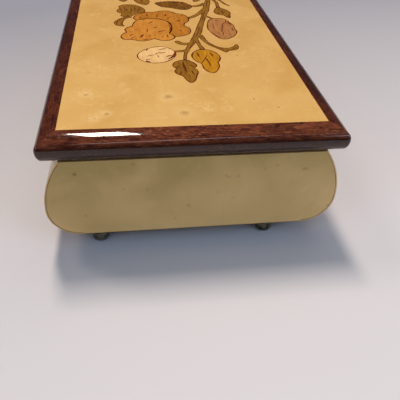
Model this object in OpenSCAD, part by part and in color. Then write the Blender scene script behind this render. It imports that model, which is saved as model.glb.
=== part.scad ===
// Inlaid music box: a swelling case on brass feet, a hinged lid with a floral inlay,
// and a pinned-cylinder movement under a clear cover at one end.
// Millimetres, +Z up, length along X, hinges at the back (+Y), floor at Z = 0.

/* [Case] */
// Length of the case over its end veneers
case_l = 226.4; // [210:0.2:250]
// Width across the belly of the two swelling sides
belly_w = 133; // [126:0.5:145]
// Height of the case from its underside to the rim
case_h = 40.5; // [38:0.5:45]
// Radius of a swelling side from the belly up to the rim
side_r = 43; // [41:0.5:60]
// Radius where a side turns under below the belly
turn_r = 14.5; // [12:0.5:15.5]
// Thickness of a side at the belly, its inner face is flat
side_t = 16.5; // [15.5:0.25:20]
// Thickness of an end board
end_t = 8; // [6:0.5:10]
// Thickness of the bottom board
bottom_t = 5; // [4:0.25:7]
// Thickness of the veneer on the sides and the ends
skin_t = 0.7; // [0.5:0.1:1]
// Thickness of the partition beside the movement
partition_t = 4; // [3:0.5:6]
// Length of the room that holds the movement
room_l = 62; // [54:0.5:70]

/* [Lid] */
// Thickness of the lid
lid_t = 11.5; // [9:0.1:14]
// How far the lid stands out past the rim at the front and the back
lid_over_side = 8.1; // [6:0.1:9]
// How far the lid stands out past the case at each end
lid_over_end = 2.9; // [1:0.1:4]
// Width of the dark border seen from above
border_w = 8.6; // [6:0.1:9]
// Radius of the border's upper edge
edge_top_r = 4.2; // [1:0.1:6]
// Radius of the border's lower edge
edge_low_r = 5.8; // [1:0.1:6]
// Radius of the lid's corners seen from above
corner_r = 1.8; // [1:0.1:5]
// Thickness of the figured veneer and the inlay
veneer_t = 0.8; // [0.5:0.1:1.2]
// Gap between the closed lid and the rim
lid_gap = 0.2; // [0.15:0.05:0.5]

/* [Feet] */
// Height of a foot under the case
foot_h = 10; // [9.5:0.1:12]
// Diameter of a foot's flange
flange_d = 10.7; // [9:0.1:12]
// Distance from the end veneer to a foot's axis
foot_inset = 8; // [7:0.25:12]
// Distance of the front feet from the middle line
foot_front_y = 36; // [30:0.5:42]
// Distance of the back feet from the middle line
foot_back_y = 44.7; // [38:0.1:46]

/* [Hinges] */
// Length of a hinge
hinge_l = 26; // [22:1:32]
// Distance of a hinge from the middle of the case
hinge_x = 72; // [55:1:80]
// Distance of the hinge pin behind the rim
pin_out = 4; // [3.4:0.1:4.6]
// Outer radius of a hinge knuckle
knuckle_r = 1.8; // [1.6:0.05:2]
// Radius of a hinge pin
pin_r = 0.8; // [0.6:0.05:0.9]
// Thickness of a hinge leaf
leaf_t = 0.9; // [0.8:0.05:1.1]

/* [Lining] */
// Thickness of a lining board with its velvet
lining_t = 1.4; // [1:0.1:2]
// Distance of the wall lining's top edge below the rim
lining_drop = 4.5; // [4:0.25:8]
// Thickness of the padded panel under the lid
lid_pad_t = 2; // [1.5:0.1:2.5]

/* [Movement] */
// Number of notes, which is the number of comb teeth
notes = 18; // [12:1:20]
// Distance from one comb tooth to the next
note_pitch = 1.7; // [1.4:0.05:1.9]
// Radius of the pinned cylinder
drum_r = 6.5; // [5:0.1:7]
// How far a pin stands out of the cylinder
pin_h = 0.8; // [0.5:0.05:1]
// Thickness of the bedplate
bed_t = 2.5; // [2:0.1:3]
// Height of the bedplate's posts above the bottom board
post_h = 2; // [1.5:0.25:2.5]
// Teeth of the crown wheel on the spring barrel
crown_teeth = 40; // [36:1:46]
// Teeth of the cylinder pinion on the crown wheel
pinion_teeth = 16; // [15:1:20]
// Module of the crown wheel and the cylinder pinion
crown_m = 0.7; // [0.65:0.01:0.8]
// Height of the spring barrel above the crown wheel
barrel_h = 12; // [10:0.5:14]
// Radius of the winding arbor
arbor_r = 2; // [1.6:0.1:2.4]
// Diameter over the wings of the winding key
key_w = 18; // [15:0.5:26]
// Teeth of the cylinder wheel that drives the governor
wheel_teeth = 32; // [28:1:35]
// Teeth of the governor pinion
gov_teeth = 10; // [9:1:14]
// Module of the governor gears
gov_m = 0.45; // [0.4:0.01:0.5]
// Radius of the fly's wings
fly_r = 4.5; // [3:0.1:5.5]
// Thickness of the clear cover
cover_t = 2; // [1.5:0.1:2.5]

/* [Hidden] */
$fn = 64;
// Radial clearance of a shaft in its bearing
run_fit = 0.04;
// Clearance of a fixed pin or screw in its hole
seat_fit = 0.02;
// Clearance round pieces that drop into place
drop_fit = 0.3;
// Overlap of shapes that join in one solid
bite = 0.2;

// Heights
z_case = foot_h;
z_floor = z_case + bottom_t;
z_belly = z_case + turn_r;
z_rim = z_case + case_h;
z_lid = z_rim + lid_gap;
z_top = z_lid + lid_t;
z_join = z_rim + lid_gap / 2;

// Case outline
belly_y = belly_w / 2;
turn_y = belly_y - turn_r;
inner_y = belly_y - side_t;
rim_y = belly_y - side_r + sqrt(side_r * side_r - (z_rim - z_belly) * (z_rim - z_belly));
core_x = case_l / 2 - skin_t;
inner_x = core_x - end_t;

// Lid outline
lid_x = case_l / 2 + lid_over_end;
lid_y = rim_y + lid_over_side;
field_x = lid_x - border_w;
field_y = lid_y - border_w;
nose_low_r = min(edge_low_r, lid_t / 2 - 0.05, border_w - 0.5);
nose_h = min(lid_t - nose_low_r - 0.3, 0.95 * border_w);
nose_top_r = min(edge_top_r, 0.9 * nose_h);
z_nose = z_top - nose_h;
fall_a = 90 - 2 * atan((nose_h - nose_top_r) / (border_w - nose_top_r));
fall_r = nose_top_r + (border_w - nose_top_r) / cos(fall_a);
fall_x = fall_r * cos(fall_a);
pad_gap = 1;
pad_x = inner_x - pad_gap;
pad_y = inner_y - pad_gap;
z_pad = z_lid - lid_pad_t;

// Hinge line
pin_y = rim_y + pin_out;
leaf_edge = 1.55;
leaf_reach = pin_y - inner_y - leaf_edge;
leaf_split = 0.1;
knuckle_mid = hinge_l / 3;
knuckle_gap = 0.3;
hinge_screw_in = 5;
screw_dx = hinge_l / 2 - hinge_screw_in;
screw_y = (rim_y + inner_y) / 2 + 0.2;
hinge_screw_l = 6.5;
hinge_head_r = 1.6;
hinge_shank_r = 0.8;

// Rooms of the case and the cover over the movement
room_x = inner_x - room_l;
tray_x1 = room_x - partition_t;
tray_x0 = -inner_x;
cover_drop = 6;
z_cover = z_rim - cover_drop;
ledge_w = 4;
ledge_h = 4;

// Movement heights
z_bed = z_floor + post_h + bed_t;
crown_gap = 0.9;
crown_t = 1.5;
z_crown = z_bed + crown_gap;
z_crown_top = z_crown + crown_t;
crown_r = crown_teeth * crown_m / 2;
pinion_r = pinion_teeth * crown_m / 2;
z_pitch = z_crown_top + 1.25 * crown_m + 0.03;
z_axis = z_pitch + pinion_r;

// Movement places along Y, from the drum outwards
drum_l = notes * note_pitch + 0.9;
drum_y1 = 2.6;
drum_y0 = drum_y1 - drum_l;
plate_t = 1.2;
bracket_y = drum_y1 + 0.6;
pinion_w = 1.6;
pinion_y = bracket_y + plate_t + 0.8;
barrel_y = pinion_y + pinion_w / 2 + crown_r;
crown_out = crown_r + 1.2;
barrel_r = crown_r - 1.5;
wheel_w = 1.4;
wheel_y = drum_y0 - 1.3 - wheel_w;
inner_cheek_y = wheel_y - 1.3 - plate_t;
worm_wheel_y = inner_cheek_y - 0.8 - wheel_w;
outer_cheek_y = worm_wheel_y - 1 - plate_t;
worm_y = worm_wheel_y + wheel_w / 2;

// Bedplate length and cylinder place in the room
bed_in = 1.6;
bed_end_gap = 3.25;
bed_edge = 1.2;
bed_x0 = room_x + bed_in;
bed_x1 = inner_x - bed_end_gap;
axis_in = 26;
axis_x = room_x + axis_in;

// Comb, from the cylinder to the end of the bedplate
tip_gap = 0.25;
comb_t = 1.4;
comb_base_l = 10;
comb_x0 = axis_x + drum_r + pin_h + tip_gap;
comb_l = bed_x1 - bed_edge - comb_x0;
tooth_long = comb_l - comb_base_l - 1;
tooth_short = tooth_long * 7.5 / 13;
comb_screw_x = comb_x0 + comb_l - comb_base_l / 2;
comb_y0 = drum_y0 + 0.45;
comb_w = notes * note_pitch;
z_comb = z_axis - comb_t / 2;

// Movement places along X, from the cylinder to the fly
arbor_thin_r = 1.2;
gov_shaft_r = 0.6;
gov_slack = 0.12;
gov_x = axis_x - (wheel_teeth + gov_teeth) * gov_m / 2 - gov_slack;
worm_wheel_teeth = 24;
worm_wheel_m = 0.5;
worm_wheel_out = (worm_wheel_teeth / 2 + 1) * worm_wheel_m;
worm_r = 1.1;
worm_x = gov_x - worm_wheel_out - worm_r - 0.25;
fly_shaft_r = 0.5;
z_strap = z_axis + worm_wheel_out + 0.6;
strap_t = 1;
z_fly = z_strap + strap_t + 0.8;
fly_h = 0.6 * (z_cover - z_fly);

// Stop lever
wire_r = 0.6;
lever_y = worm_y - fly_r - wire_r - 0.6;
lever_reach = 9;
lever_x = worm_x + lever_reach;
lever_z = z_fly + 1.1;
lever_gap = 0.3;
upright_in = 3;
upright_x = room_x + upright_in;
upright_top = z_pad - lever_gap;

// Winding arbor and key
key_gap = 0.5;
key_hub_r = 3.2;
key_lobe_r = 3.3;
key_t = 1.4;
z_key_mid = z_case - key_gap - 1 - key_lobe_r - 0.4;

// Bedplate
bed_y0 = outer_cheek_y - 4.5;
bed_y1 = barrel_y + crown_out + 1;
post_r = 3.2;
post_at = [
    [bed_x0 + 4.2, bed_y1 - 4.2],
    [bed_x1 - 4.2, bed_y1 - 4.2],
    [bed_x1 - 4.2, bed_y0 + 4.2]
];
move_shank_r = 1.3;
move_head_r = 2.6;
move_head_h = 1.6;

// Extrudes a section drawn in Y and Z along X
module along_x(x0, x1) {
    translate([x0, 0, 0]) rotate([90, 0, 90]) linear_extrude(x1 - x0) children();
}

// Extrudes a section drawn in X and Z along Y
module along_y(y0, y1) {
    translate([0, y1, 0]) rotate([90, 0, 0]) linear_extrude(y1 - y0) children();
}

// A box from its two corners
module box(a, b) {
    translate(a) cube(b - a);
}

// A round bar along X, Y or Z
module rod_x(x0, x1, y, z, r) {
    translate([x0, y, z]) rotate([0, 90, 0]) cylinder(r = r, h = x1 - x0);
}

module rod_y(x, y0, y1, z, r) {
    translate([x, y1, z]) rotate([90, 0, 0]) cylinder(r = r, h = y1 - y0);
}

module rod_z(x, y, z0, z1, r) {
    translate([x, y, z0]) cylinder(r = r, h = z1 - z0);
}

// A bar of wire between two points, with a ball at its far end
module wire(a, b) {
    d = b - a;
    l = norm(d);
    translate(a) rotate([0, acos(d[2] / l), atan2(d[1], d[0])]) cylinder(r = wire_r, h = l);
    translate(b) sphere(r = wire_r);
}

// A rectangle with rounded corners about the middle
module round_rect(hx, hy, r) {
    square([2 * hx, 2 * (hy - r)], center = true);
    square([2 * (hx - r), 2 * hy], center = true);
    for (sx = [-1, 1], sy = [-1, 1])
        translate([sx * (hx - r), sy * (hy - r)]) circle(r = r);
}

// Countersunk screw pointing down from the origin, with a slot
module sunk_screw(head_r, shank_r, l) {
    head_h = head_r - shank_r;
    difference() {
        union() {
            translate([0, 0, -head_h]) cylinder(r1 = shank_r, r2 = head_r, h = head_h);
            translate([0, 0, -l]) cylinder(r = shank_r, h = l - head_h);
        }
        translate([-head_r, -0.2, -0.35]) cube([2 * head_r, 0.4, 1]);
    }
}

// Hole for a countersunk screw pointing down from the origin
module sunk_hole(head_r, shank_r, l) {
    head_h = head_r - shank_r;
    translate([0, 0, -head_h]) cylinder(r1 = shank_r + seat_fit, r2 = head_r + seat_fit, h = head_h);
    translate([0, 0, -l - 0.2]) cylinder(r = shank_r + seat_fit, h = l + 0.2 - head_h + 0.01);
    cylinder(r = head_r + seat_fit, h = 1);
}

// Half of the case section on the +Y side, set in by a distance
module half_section(inset) {
    intersection() {
        translate([belly_y - side_r, z_belly]) circle(r = side_r - inset);
        translate([inner_y, z_belly]) square([side_t, z_rim - z_belly]);
    }
    intersection() {
        translate([turn_y, z_belly]) circle(r = turn_r - inset);
        translate([turn_y, z_case]) square([turn_r, turn_r]);
    }
    translate([inner_y, z_case]) square([turn_y - inner_y, turn_r]);
}

// Whole end section inside the side veneers
module end_section() {
    half_section(skin_t);
    mirror([1, 0]) half_section(skin_t);
    translate([-inner_y, z_case]) square([2 * inner_y, case_h]);
}

// Wood of the case

module bottom_board() {
    color("BurlyWood") difference() {
        box([-core_x, -inner_y, z_case], [core_x, inner_y, z_floor]);
        for (sx = [-1, 1]) {
            rod_z(sx * foot_x, -foot_front_y, z_case - 1, z_case + foot_pin_l + 0.2, foot_pin_r + seat_fit);
            rod_z(sx * foot_x, foot_back_y, z_case - 1, z_case + foot_pin_l + 0.2, foot_pin_r + seat_fit);
        }
        rod_z(axis_x, barrel_y, z_case - 1, z_floor + 1, arbor_r + 0.6);
        for (p = post_at) {
            rod_z(p[0], p[1], z_case - 1, z_floor + 1, move_shank_r + seat_fit);
            rod_z(p[0], p[1], z_case - 1, z_case + move_head_h, move_head_r + 0.3);
        }
    }
}

module front_side() {
    color("BurlyWood") mirror([0, 1, 0]) along_x(-core_x, core_x) half_section(skin_t);
}

module back_side() {
    color("BurlyWood") difference() {
        along_x(-core_x, core_x) half_section(skin_t);
        for (sx = [-1, 1]) {
            case_mortise(sx * hinge_x);
            for (dx = [-1, 1])
                translate([sx * hinge_x + dx * screw_dx, screw_y, z_join - leaf_split / 2])
                    sunk_hole(hinge_head_r, hinge_shank_r, hinge_screw_l);
        }
    }
}

module end_board(x0) {
    color("BurlyWood") box([x0, -inner_y, z_floor], [x0 + end_t, inner_y, z_rim]);
}

module end_board_left() {
    end_board(-core_x);
}

module end_board_right() {
    end_board(inner_x);
}

module side_skin() {
    along_x(-case_l / 2, case_l / 2) difference() {
        half_section(0);
        half_section(skin_t);
    }
}

module front_veneer() {
    color("Tan") mirror([0, 1, 0]) side_skin();
}

module back_veneer() {
    color("Tan") difference() {
        side_skin();
        for (sx = [-1, 1]) case_mortise(sx * hinge_x);
    }
}

module end_veneer_left() {
    color("Tan") along_x(-case_l / 2, -core_x) end_section();
}

module end_veneer_right() {
    color("Tan") along_x(core_x, case_l / 2) end_section();
}

module partition() {
    color("BurlyWood") difference() {
        box([tray_x1, -inner_y, z_floor], [room_x, inner_y, z_cover]);
        for (sy = [-1, 1])
            translate([tray_x1 + partition_t / 2, sy * cover_screw_y, z_cover + cover_t])
                sunk_hole(cover_head_r, cover_shank_r, cover_screw_l);
    }
}

module cover_ledge() {
    color("BurlyWood") difference() {
        box([inner_x - ledge_w, -inner_y, z_cover - ledge_h], [inner_x, inner_y, z_cover]);
        for (sy = [-1, 1])
            translate([inner_x - ledge_w / 2, sy * cover_screw_y, z_cover + cover_t])
                sunk_hole(cover_head_r, cover_shank_r, cover_screw_l);
    }
}

// Feet
foot_x = case_l / 2 - foot_inset;
foot_pin_r = 1;
foot_pin_l = 3.6;
foot_outline = [
    [0, 0], [2.5, 0], [3.1, 0.25], [3.65, 0.8], [4, 1.7], [4.15, 2.9], [4.15, 4.2], [3.95, 5.1],
    [3.5, 5.55], [3.5, 6.1], [3.95, 6.45], [4.1, 6.9], [3.95, 7.35], [3.6, 7.7], [4.4, 8.1],
    [5.1, 8.45], [5.35, 8.95], [5.35, 10], [0, 10]
];

module foot(x, y) {
    k = flange_d / 10.7;
    h = foot_h / 10;
    color("Goldenrod") translate([x, y, 0]) {
        rotate_extrude() polygon([for (p = foot_outline) [p[0] * k, p[1] * h]]);
        rod_z(0, 0, foot_h - bite, foot_h + foot_pin_l, foot_pin_r);
    }
}

module foot_front_left() {
    foot(-foot_x, -foot_front_y);
}

module foot_front_right() {
    foot(foot_x, -foot_front_y);
}

module foot_back_left() {
    foot(-foot_x, foot_back_y);
}

module foot_back_right() {
    foot(foot_x, foot_back_y);
}

// Lining of the tray
z_lined = z_floor + lining_t;
z_lining_top = z_rim - lining_drop;

module floor_lining() {
    color("DarkRed") box([tray_x0, -inner_y, z_floor], [tray_x1, inner_y, z_lined]);
}

module front_lining() {
    color("DarkRed") box([tray_x0, -inner_y, z_lined], [tray_x1, -inner_y + lining_t, z_lining_top]);
}

module back_lining() {
    color("DarkRed") box([tray_x0, inner_y - lining_t, z_lined], [tray_x1, inner_y, z_lining_top]);
}

module end_lining() {
    color("DarkRed")
        box([tray_x0, -inner_y + lining_t, z_lined], [tray_x0 + lining_t, inner_y - lining_t, z_lining_top]);
}

module partition_lining() {
    color("DarkRed")
        box([tray_x1 - lining_t, -inner_y + lining_t, z_lined], [tray_x1, inner_y - lining_t, z_cover]);
}

// Clear cover over the movement
cover_screw_inset = 8;
cover_screw_y = inner_y - cover_screw_inset;
cover_head_r = 1.5;
cover_shank_r = 0.7;
cover_screw_l = 5;

module clear_cover() {
    color("LightCyan", 0.4) difference() {
        box([tray_x1, -inner_y + drop_fit, z_cover], [inner_x - drop_fit, inner_y - drop_fit, z_cover + cover_t]);
        for (sy = [-1, 1], x = [tray_x1 + partition_t / 2, inner_x - ledge_w / 2])
            translate([x, sy * cover_screw_y, z_cover + cover_t])
                sunk_hole(cover_head_r, cover_shank_r, cover_screw_l);
        box([upright_x - wire_r - 1, lever_y - wire_r - 0.8, z_cover - 1],
            [upright_x + wire_r + 2.6, lever_y + wire_r + 0.8, z_cover + cover_t + 1]);
    }
}

module cover_screws() {
    color("Goldenrod") for (sy = [-1, 1], x = [tray_x1 + partition_t / 2, inner_x - ledge_w / 2])
        translate([x, sy * cover_screw_y, z_cover + cover_t])
            sunk_screw(cover_head_r, cover_shank_r, cover_screw_l);
}

// Hinges
module case_mortise(x) {
    box([x - hinge_l / 2 - seat_fit, pin_y - leaf_reach - seat_fit, z_join - leaf_split / 2 - leaf_t],
        [x + hinge_l / 2 + seat_fit, pin_y + 2, z_rim + 1]);
}

module lid_mortise(x) {
    box([x - hinge_l / 2 - seat_fit, pin_y - leaf_reach - seat_fit, z_lid - 1],
        [x + hinge_l / 2 + seat_fit, pin_y, z_join + leaf_split / 2 + leaf_t]);
    rod_x(x - hinge_l / 2 - knuckle_gap, x + hinge_l / 2 + knuckle_gap, pin_y, z_join, knuckle_r + knuckle_gap);
}

module case_leaf(x) {
    color("Goldenrod") difference() {
        union() {
            box([x - hinge_l / 2, pin_y - leaf_reach, z_join - leaf_split / 2 - leaf_t],
                [x + hinge_l / 2, pin_y, z_join - leaf_split / 2]);
            rod_x(x - hinge_l / 2, x + hinge_l / 2, pin_y, z_join, knuckle_r);
        }
        rod_x(x - knuckle_mid / 2 - knuckle_gap, x + knuckle_mid / 2 + knuckle_gap, pin_y, z_join,
            knuckle_r + knuckle_gap);
        rod_x(x - hinge_l, x + hinge_l, pin_y, z_join, pin_r + seat_fit);
        for (dx = [-1, 1])
            translate([x + dx * screw_dx, screw_y, z_join - leaf_split / 2])
                sunk_hole(hinge_head_r, hinge_shank_r, hinge_screw_l);
    }
}

module case_leaf_left() {
    case_leaf(-hinge_x);
}

module case_leaf_right() {
    case_leaf(hinge_x);
}

module lid_leaf(x) {
    color("Goldenrod") difference() {
        union() {
            difference() {
                box([x - hinge_l / 2, pin_y - leaf_reach, z_join + leaf_split / 2],
                    [x + hinge_l / 2, pin_y, z_join + leaf_split / 2 + leaf_t]);
                for (sx = [-1, 1])
                    translate([x + sx * hinge_l / 3, pin_y, z_join]) rotate([0, 90, 0])
                        cylinder(r = knuckle_r + knuckle_gap, h = knuckle_mid + 2 * knuckle_gap, center = true);
            }
            rod_x(x - knuckle_mid / 2, x + knuckle_mid / 2, pin_y, z_join, knuckle_r);
        }
        rod_x(x - hinge_l, x + hinge_l, pin_y, z_join, pin_r + run_fit);
        for (dx = [-1, 1])
            translate([x + dx * screw_dx, screw_y, z_join + leaf_split / 2]) mirror([0, 0, 1])
                sunk_hole(hinge_head_r, hinge_shank_r, hinge_screw_l);
    }
}

module lid_leaf_left() {
    lid_leaf(-hinge_x);
}

module lid_leaf_right() {
    lid_leaf(hinge_x);
}

module hinge_pins() {
    color("Goldenrod") for (sx = [-1, 1])
        rod_x(sx * hinge_x - hinge_l / 2, sx * hinge_x + hinge_l / 2, pin_y, z_join, pin_r);
}

module case_leaf_screws() {
    color("Goldenrod") for (sx = [-1, 1], dx = [-1, 1])
        translate([sx * hinge_x + dx * screw_dx, screw_y, z_join - leaf_split / 2])
            sunk_screw(hinge_head_r, hinge_shank_r, hinge_screw_l);
}

module lid_leaf_screws() {
    color("Goldenrod") for (sx = [-1, 1], dx = [-1, 1])
        translate([sx * hinge_x + dx * screw_dx, screw_y, z_join + leaf_split / 2]) mirror([0, 0, 1])
            sunk_screw(hinge_head_r, hinge_shank_r, hinge_screw_l);
}

// Lid
module lid_core() {
    color("BurlyWood") difference() {
        box([-field_x, -field_y, z_lid], [field_x, field_y, z_top - veneer_t]);
        for (sx = [-1, 1]) {
            lid_mortise(sx * hinge_x);
            for (dx = [-1, 1])
                translate([sx * hinge_x + dx * screw_dx, screw_y, z_join + leaf_split / 2]) mirror([0, 0, 1])
                    sunk_hole(hinge_head_r, hinge_shank_r, hinge_screw_l);
        }
    }
}

// Section of a border moulding, its inner edge at zero and its nose at border_w: the top falls in a wide
// arc that runs on into the tighter upper edge, and a round lower edge closes it
module border_section() {
    translate([0, z_lid]) square([border_w - nose_low_r, nose_low_r]);
    translate([0, z_lid + nose_low_r]) square([border_w, z_nose - z_lid - nose_low_r]);
    intersection() {
        translate([border_w - nose_low_r, z_lid + nose_low_r]) circle(r = nose_low_r);
        translate([border_w - nose_low_r, z_lid]) square([nose_low_r, nose_low_r]);
    }
    intersection() {
        translate([0, z_top - fall_r]) circle(r = fall_r);
        translate([0, z_nose]) square([fall_x, nose_h + 1]);
    }
    intersection() {
        translate([border_w - nose_top_r, z_nose]) circle(r = nose_top_r);
        translate([fall_x, z_nose]) square([border_w, nose_h]);
    }
}

// The part of the section that turns round a corner of the lid, its turning axis at zero
module corner_section() {
    intersection() {
        translate([corner_r - border_w, 0]) border_section();
        translate([0, z_lid]) square([corner_r, lid_t]);
    }
}

// Half of a rounded corner, from the mitre round to +Y, on the corner in +X and +Y
module mitred_corner(hx, hy) {
    translate([hx - corner_r, hy - corner_r, 0]) rotate(45) rotate_extrude(angle = 45) corner_section();
}

// A moulding along X at +Y with mitred ends, for a lid of half sizes hx and hy
module moulding(hx, hy) {
    ex = hx - corner_r;
    ey = hy - corner_r;
    ix = hx - border_w;
    iy = hy - border_w;
    intersection() {
        along_x(-hx, hx) translate([iy, 0]) border_section();
        translate([0, 0, z_lid - 1]) linear_extrude(lid_t + 2)
            polygon([[-ex, hy + 1], [ex, hy + 1], [ex, ey], [ix, iy], [-ix, iy], [-ex, ey]]);
    }
    mitred_corner(hx, hy);
    mirror([1, 0, 0]) mitred_corner(hx, hy);
}

module long_border() {
    moulding(lid_x, lid_y);
}

module end_border() {
    rotate(-90) moulding(lid_y, lid_x);
}

module border_front() {
    color("SaddleBrown") mirror([0, 1, 0]) long_border();
}

module border_back() {
    color("SaddleBrown") difference() {
        long_border();
        for (sx = [-1, 1]) lid_mortise(sx * hinge_x);
    }
}

module border_left() {
    color("SaddleBrown") mirror([1, 0, 0]) end_border();
}

module border_right() {
    color("SaddleBrown") end_border();
}

module lid_lining() {
    color("DarkRed") box([-pad_x, -pad_y, z_pad], [pad_x, pad_y, z_lid]);
}

// Inlay: outlines drawn on a field 99 wide, as [across, along] from the near end of the field,
// where across runs to the front. Each outline is a closed smooth curve through its points.
function blend(a, b, c, d, t) = 0.5 * (2 * b + (c - a) * t + (2 * a - 5 * b + 4 * c - d) * t * t
    + (3 * b - a - 3 * c + d) * t * t * t);
function loop_curve(p) = let (n = len(p)) [for (i = [0:n - 1], t = [0, 0.34, 0.67])
    blend(p[(i + n - 1) % n], p[i], p[(i + 1) % n], p[(i + 2) % n], t)];
function open_curve(p) = let (n = len(p)) concat([for (i = [0:n - 2], t = [0, 0.34, 0.67])
    blend(p[max(i - 1, 0)], p[i], p[i + 1], p[min(i + 2, n - 1)], t)], [p[n - 1]]);
function edge_at(p, i, s) = let (a = p[max(i - 1, 0)], b = p[min(i + 1, len(p) - 1)],
    d = [b[0] - a[0], b[1] - a[1]], l = norm(d)) [p[i][0] - s * d[1] / l * p[i][2] / 2, p[i][1] + s * d[0] / l * p[i][2] / 2];

// A closed outline, and a tapering stem given as [across, along, width]
module shape(p) {
    polygon([for (q = loop_curve(p)) [(q[1] - inlay_mid) * inlay_k, -q[0] * inlay_k]]);
}

module stem(p) {
    c = open_curve(p);
    n = len(c);
    o = concat([for (i = [0:n - 1]) edge_at(c, i, 1)], [for (i = [n - 1:-1:0]) edge_at(c, i, -1)]);
    polygon([for (q = o) [(q[1] - inlay_mid) * inlay_k, -q[0] * inlay_k]]);
}

near_leaf = [[2.1, 35.2], [4.2, 38], [5.2, 42.2], [6.1, 45], [5.9, 47.6], [5, 49.4], [6.1, 51.5], [5.6, 54.4],
    [3.6, 57], [1.6, 58], [-1, 57.6], [-3.4, 55.4], [-4.3, 51.8], [-3, 49.3], [-3.9, 46.8], [-3.2, 44], [-0.8, 41.6],
    [0.4, 37.6]];
gold_upper = [[11.3, 69.8], [14.2, 69], [16.6, 66.4], [18.1, 62], [17.7, 58], [15.9, 54.6], [13.4, 55.2], [12.2, 58],
    [10.2, 56.4], [8.2, 54.8], [6.2, 57.5], [5.3, 61.6], [6.2, 66], [8.6, 69]];
gold_lower = [[12.2, 60], [14.6, 57.4], [16.2, 54.8], [16.3, 51], [15, 47], [12.9, 44.3], [10.5, 45.6], [9.1, 49],
    [8.9, 52], [8.6, 55.4], [10, 58]];
cream_bud = [[-8.5, 74], [-13, 72.6], [-16.8, 69.4], [-19.4, 64.6], [-18.9, 60.2], [-16.4, 57], [-13, 55.4],
    [-8.8, 55.7], [-5, 58.2], [-2.6, 62], [-1.8, 66.2], [-3.2, 70.2], [-5.6, 72.8]];
pink_bud = [[24.6, 112.3], [21, 111], [18.9, 106.4], [18, 101], [17.6, 95.6], [18.9, 91], [20.4, 86], [22.6, 82.8],
    [25.6, 82.5], [28.2, 84.8], [30.6, 88], [32.1, 92.6], [31.5, 97], [32, 101], [30.6, 105], [29.7, 109],
    [27.6, 111.7]];
flower_back = [[-19.6, 115.8], [-17, 120], [-12.9, 122.6], [-9, 122.7], [-5.7, 124.4], [-1.5, 124.6], [1.2, 122.8],
    [2.9, 120.4], [6.6, 119], [9, 114.2], [8.8, 108.6], [6.3, 104.6], [5.9, 101.6], [7.9, 98.4], [8.3, 94],
    [7, 89.6], [3.4, 87], [-2, 86.4], [-7, 90], [-6, 98], [-7, 105], [-12, 109], [-17.4, 108.4], [-20, 112.2]];
flower_front = [[-6, 111.2], [-2.4, 107.4], [-0.9, 102], [-1.2, 96.4], [-3, 90.6], [-7.4, 86.6], [-12, 87],
    [-17, 90], [-23, 91.6], [-24.8, 96.4], [-23.4, 99.6], [-21.2, 101.4], [-20.4, 105.4],
    [-18.6, 109.6], [-15.8, 111.4], [-11, 112.6]];
flower_lip = [[-25.8, 90.8], [-26.8, 87.2], [-25.2, 83.4], [-21, 82.8], [-17.2, 81], [-13.2, 82], [-10.6, 83.8],
    [-8, 81.9], [-4.2, 81.4], [-1.4, 83.6], [-0.4, 86.8], [-3.6, 91.4], [-7.4, 89], [-10.8, 89.4], [-13.2, 92.4],
    [-18, 94.3], [-23.4, 93]];
lobed_leaf = [[-22.4, 135.8], [-18.6, 134.4], [-15.6, 131], [-13.7, 126.6], [-13.8, 123], [-16.6, 121.2],
    [-19.8, 118.2], [-22, 116.2], [-24.6, 115.3], [-26.8, 117], [-26.4, 120.4], [-28.8, 123.4], [-28.5, 127.4],
    [-27.4, 129.6], [-28, 132.4], [-26, 135]];
curl_leaf = [[-21.2, 115.7], [-25, 114.7], [-28.4, 111], [-30.3, 106.4], [-29.4, 103.2], [-26.6, 101.3],
    [-25.1, 101.7], [-26.2, 104.2], [-25.9, 107.4], [-25.2, 110.6], [-23.6, 113], [-21.4, 114.1]];
dark_leaf = [[-7.4, 138], [-5, 139.8], [-1, 141], [4, 141.2], [8.6, 140], [11.2, 137], [12.8, 133.8], [13, 130.8],
    [11, 127.4], [8.4, 126.2], [5, 127.4], [1, 129.6], [-3, 131], [-5.8, 134]];
far_leaf = [[-13.2, 134.6], [-11, 138], [-10.5, 142.2], [-12.2, 146.4], [-14.8, 149], [-17.6, 147], [-19, 143],
    [-17.4, 138.6]];
far_side_leaf = [[-25.4, 140.6], [-23.2, 144], [-23.4, 148.2], [-25.6, 151.4], [-28, 148.4], [-27.8, 143.8]];
hanging_leaf = [[28.5, 130], [30.6, 128], [32.6, 125], [33.6, 121.4], [33, 118], [32.6, 115], [31.9, 112.8],
    [30.6, 114.2], [29.2, 116.8], [26.4, 118.4], [24.9, 121.2], [25.2, 125.2], [26.6, 128.6]];
tip_leaf = [[25, 152.5], [21.4, 151.6], [18.4, 148.6], [15.8, 144.6], [15.4, 140.4], [17.8, 141.8], [20.8, 145],
    [23.4, 148.6]];
hook_stem = [[11.3, 88], [12, 83.6], [13, 79.6], [14.6, 76], [17, 72.6], [19.8, 69], [22, 66], [23.6, 67.9],
    [26.4, 68.7], [28.4, 70.2], [29, 73.4], [28.5, 75.4], [27, 73.4], [25.4, 71.8], [23.4, 71], [21.2, 71.4],
    [19.3, 72.6], [17.2, 75], [15.6, 78], [14.4, 82], [13.5, 88]];
curl_stem = [[-0.9, 80], [0.3, 81], [1.4, 79.6], [2.4, 78.3], [4.1, 78], [6, 78.6], [8, 80.2], [7, 76.8], [5, 76],
    [3, 75.2], [1, 76.3], [-0.4, 78]];
main_stem = [[1.7, 56.6, 1.1], [2.3, 63, 1.3], [4.1, 70, 1.7], [7.1, 77.6, 2.6], [9.3, 83.6, 2.9], [11.6, 90.5, 3.3],
    [13.9, 100, 2.9], [16.5, 110, 2.4], [18.3, 117, 2.6], [20, 124, 3.3], [21.5, 131, 3.4], [23, 138, 3.1],
    [24.2, 144, 2.4], [25, 149.5, 1.6]];
gold_stem = [[11.4, 68, 2.3], [11, 72, 2], [10.2, 77, 1.5], [9.8, 83, 1.5]];
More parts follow.
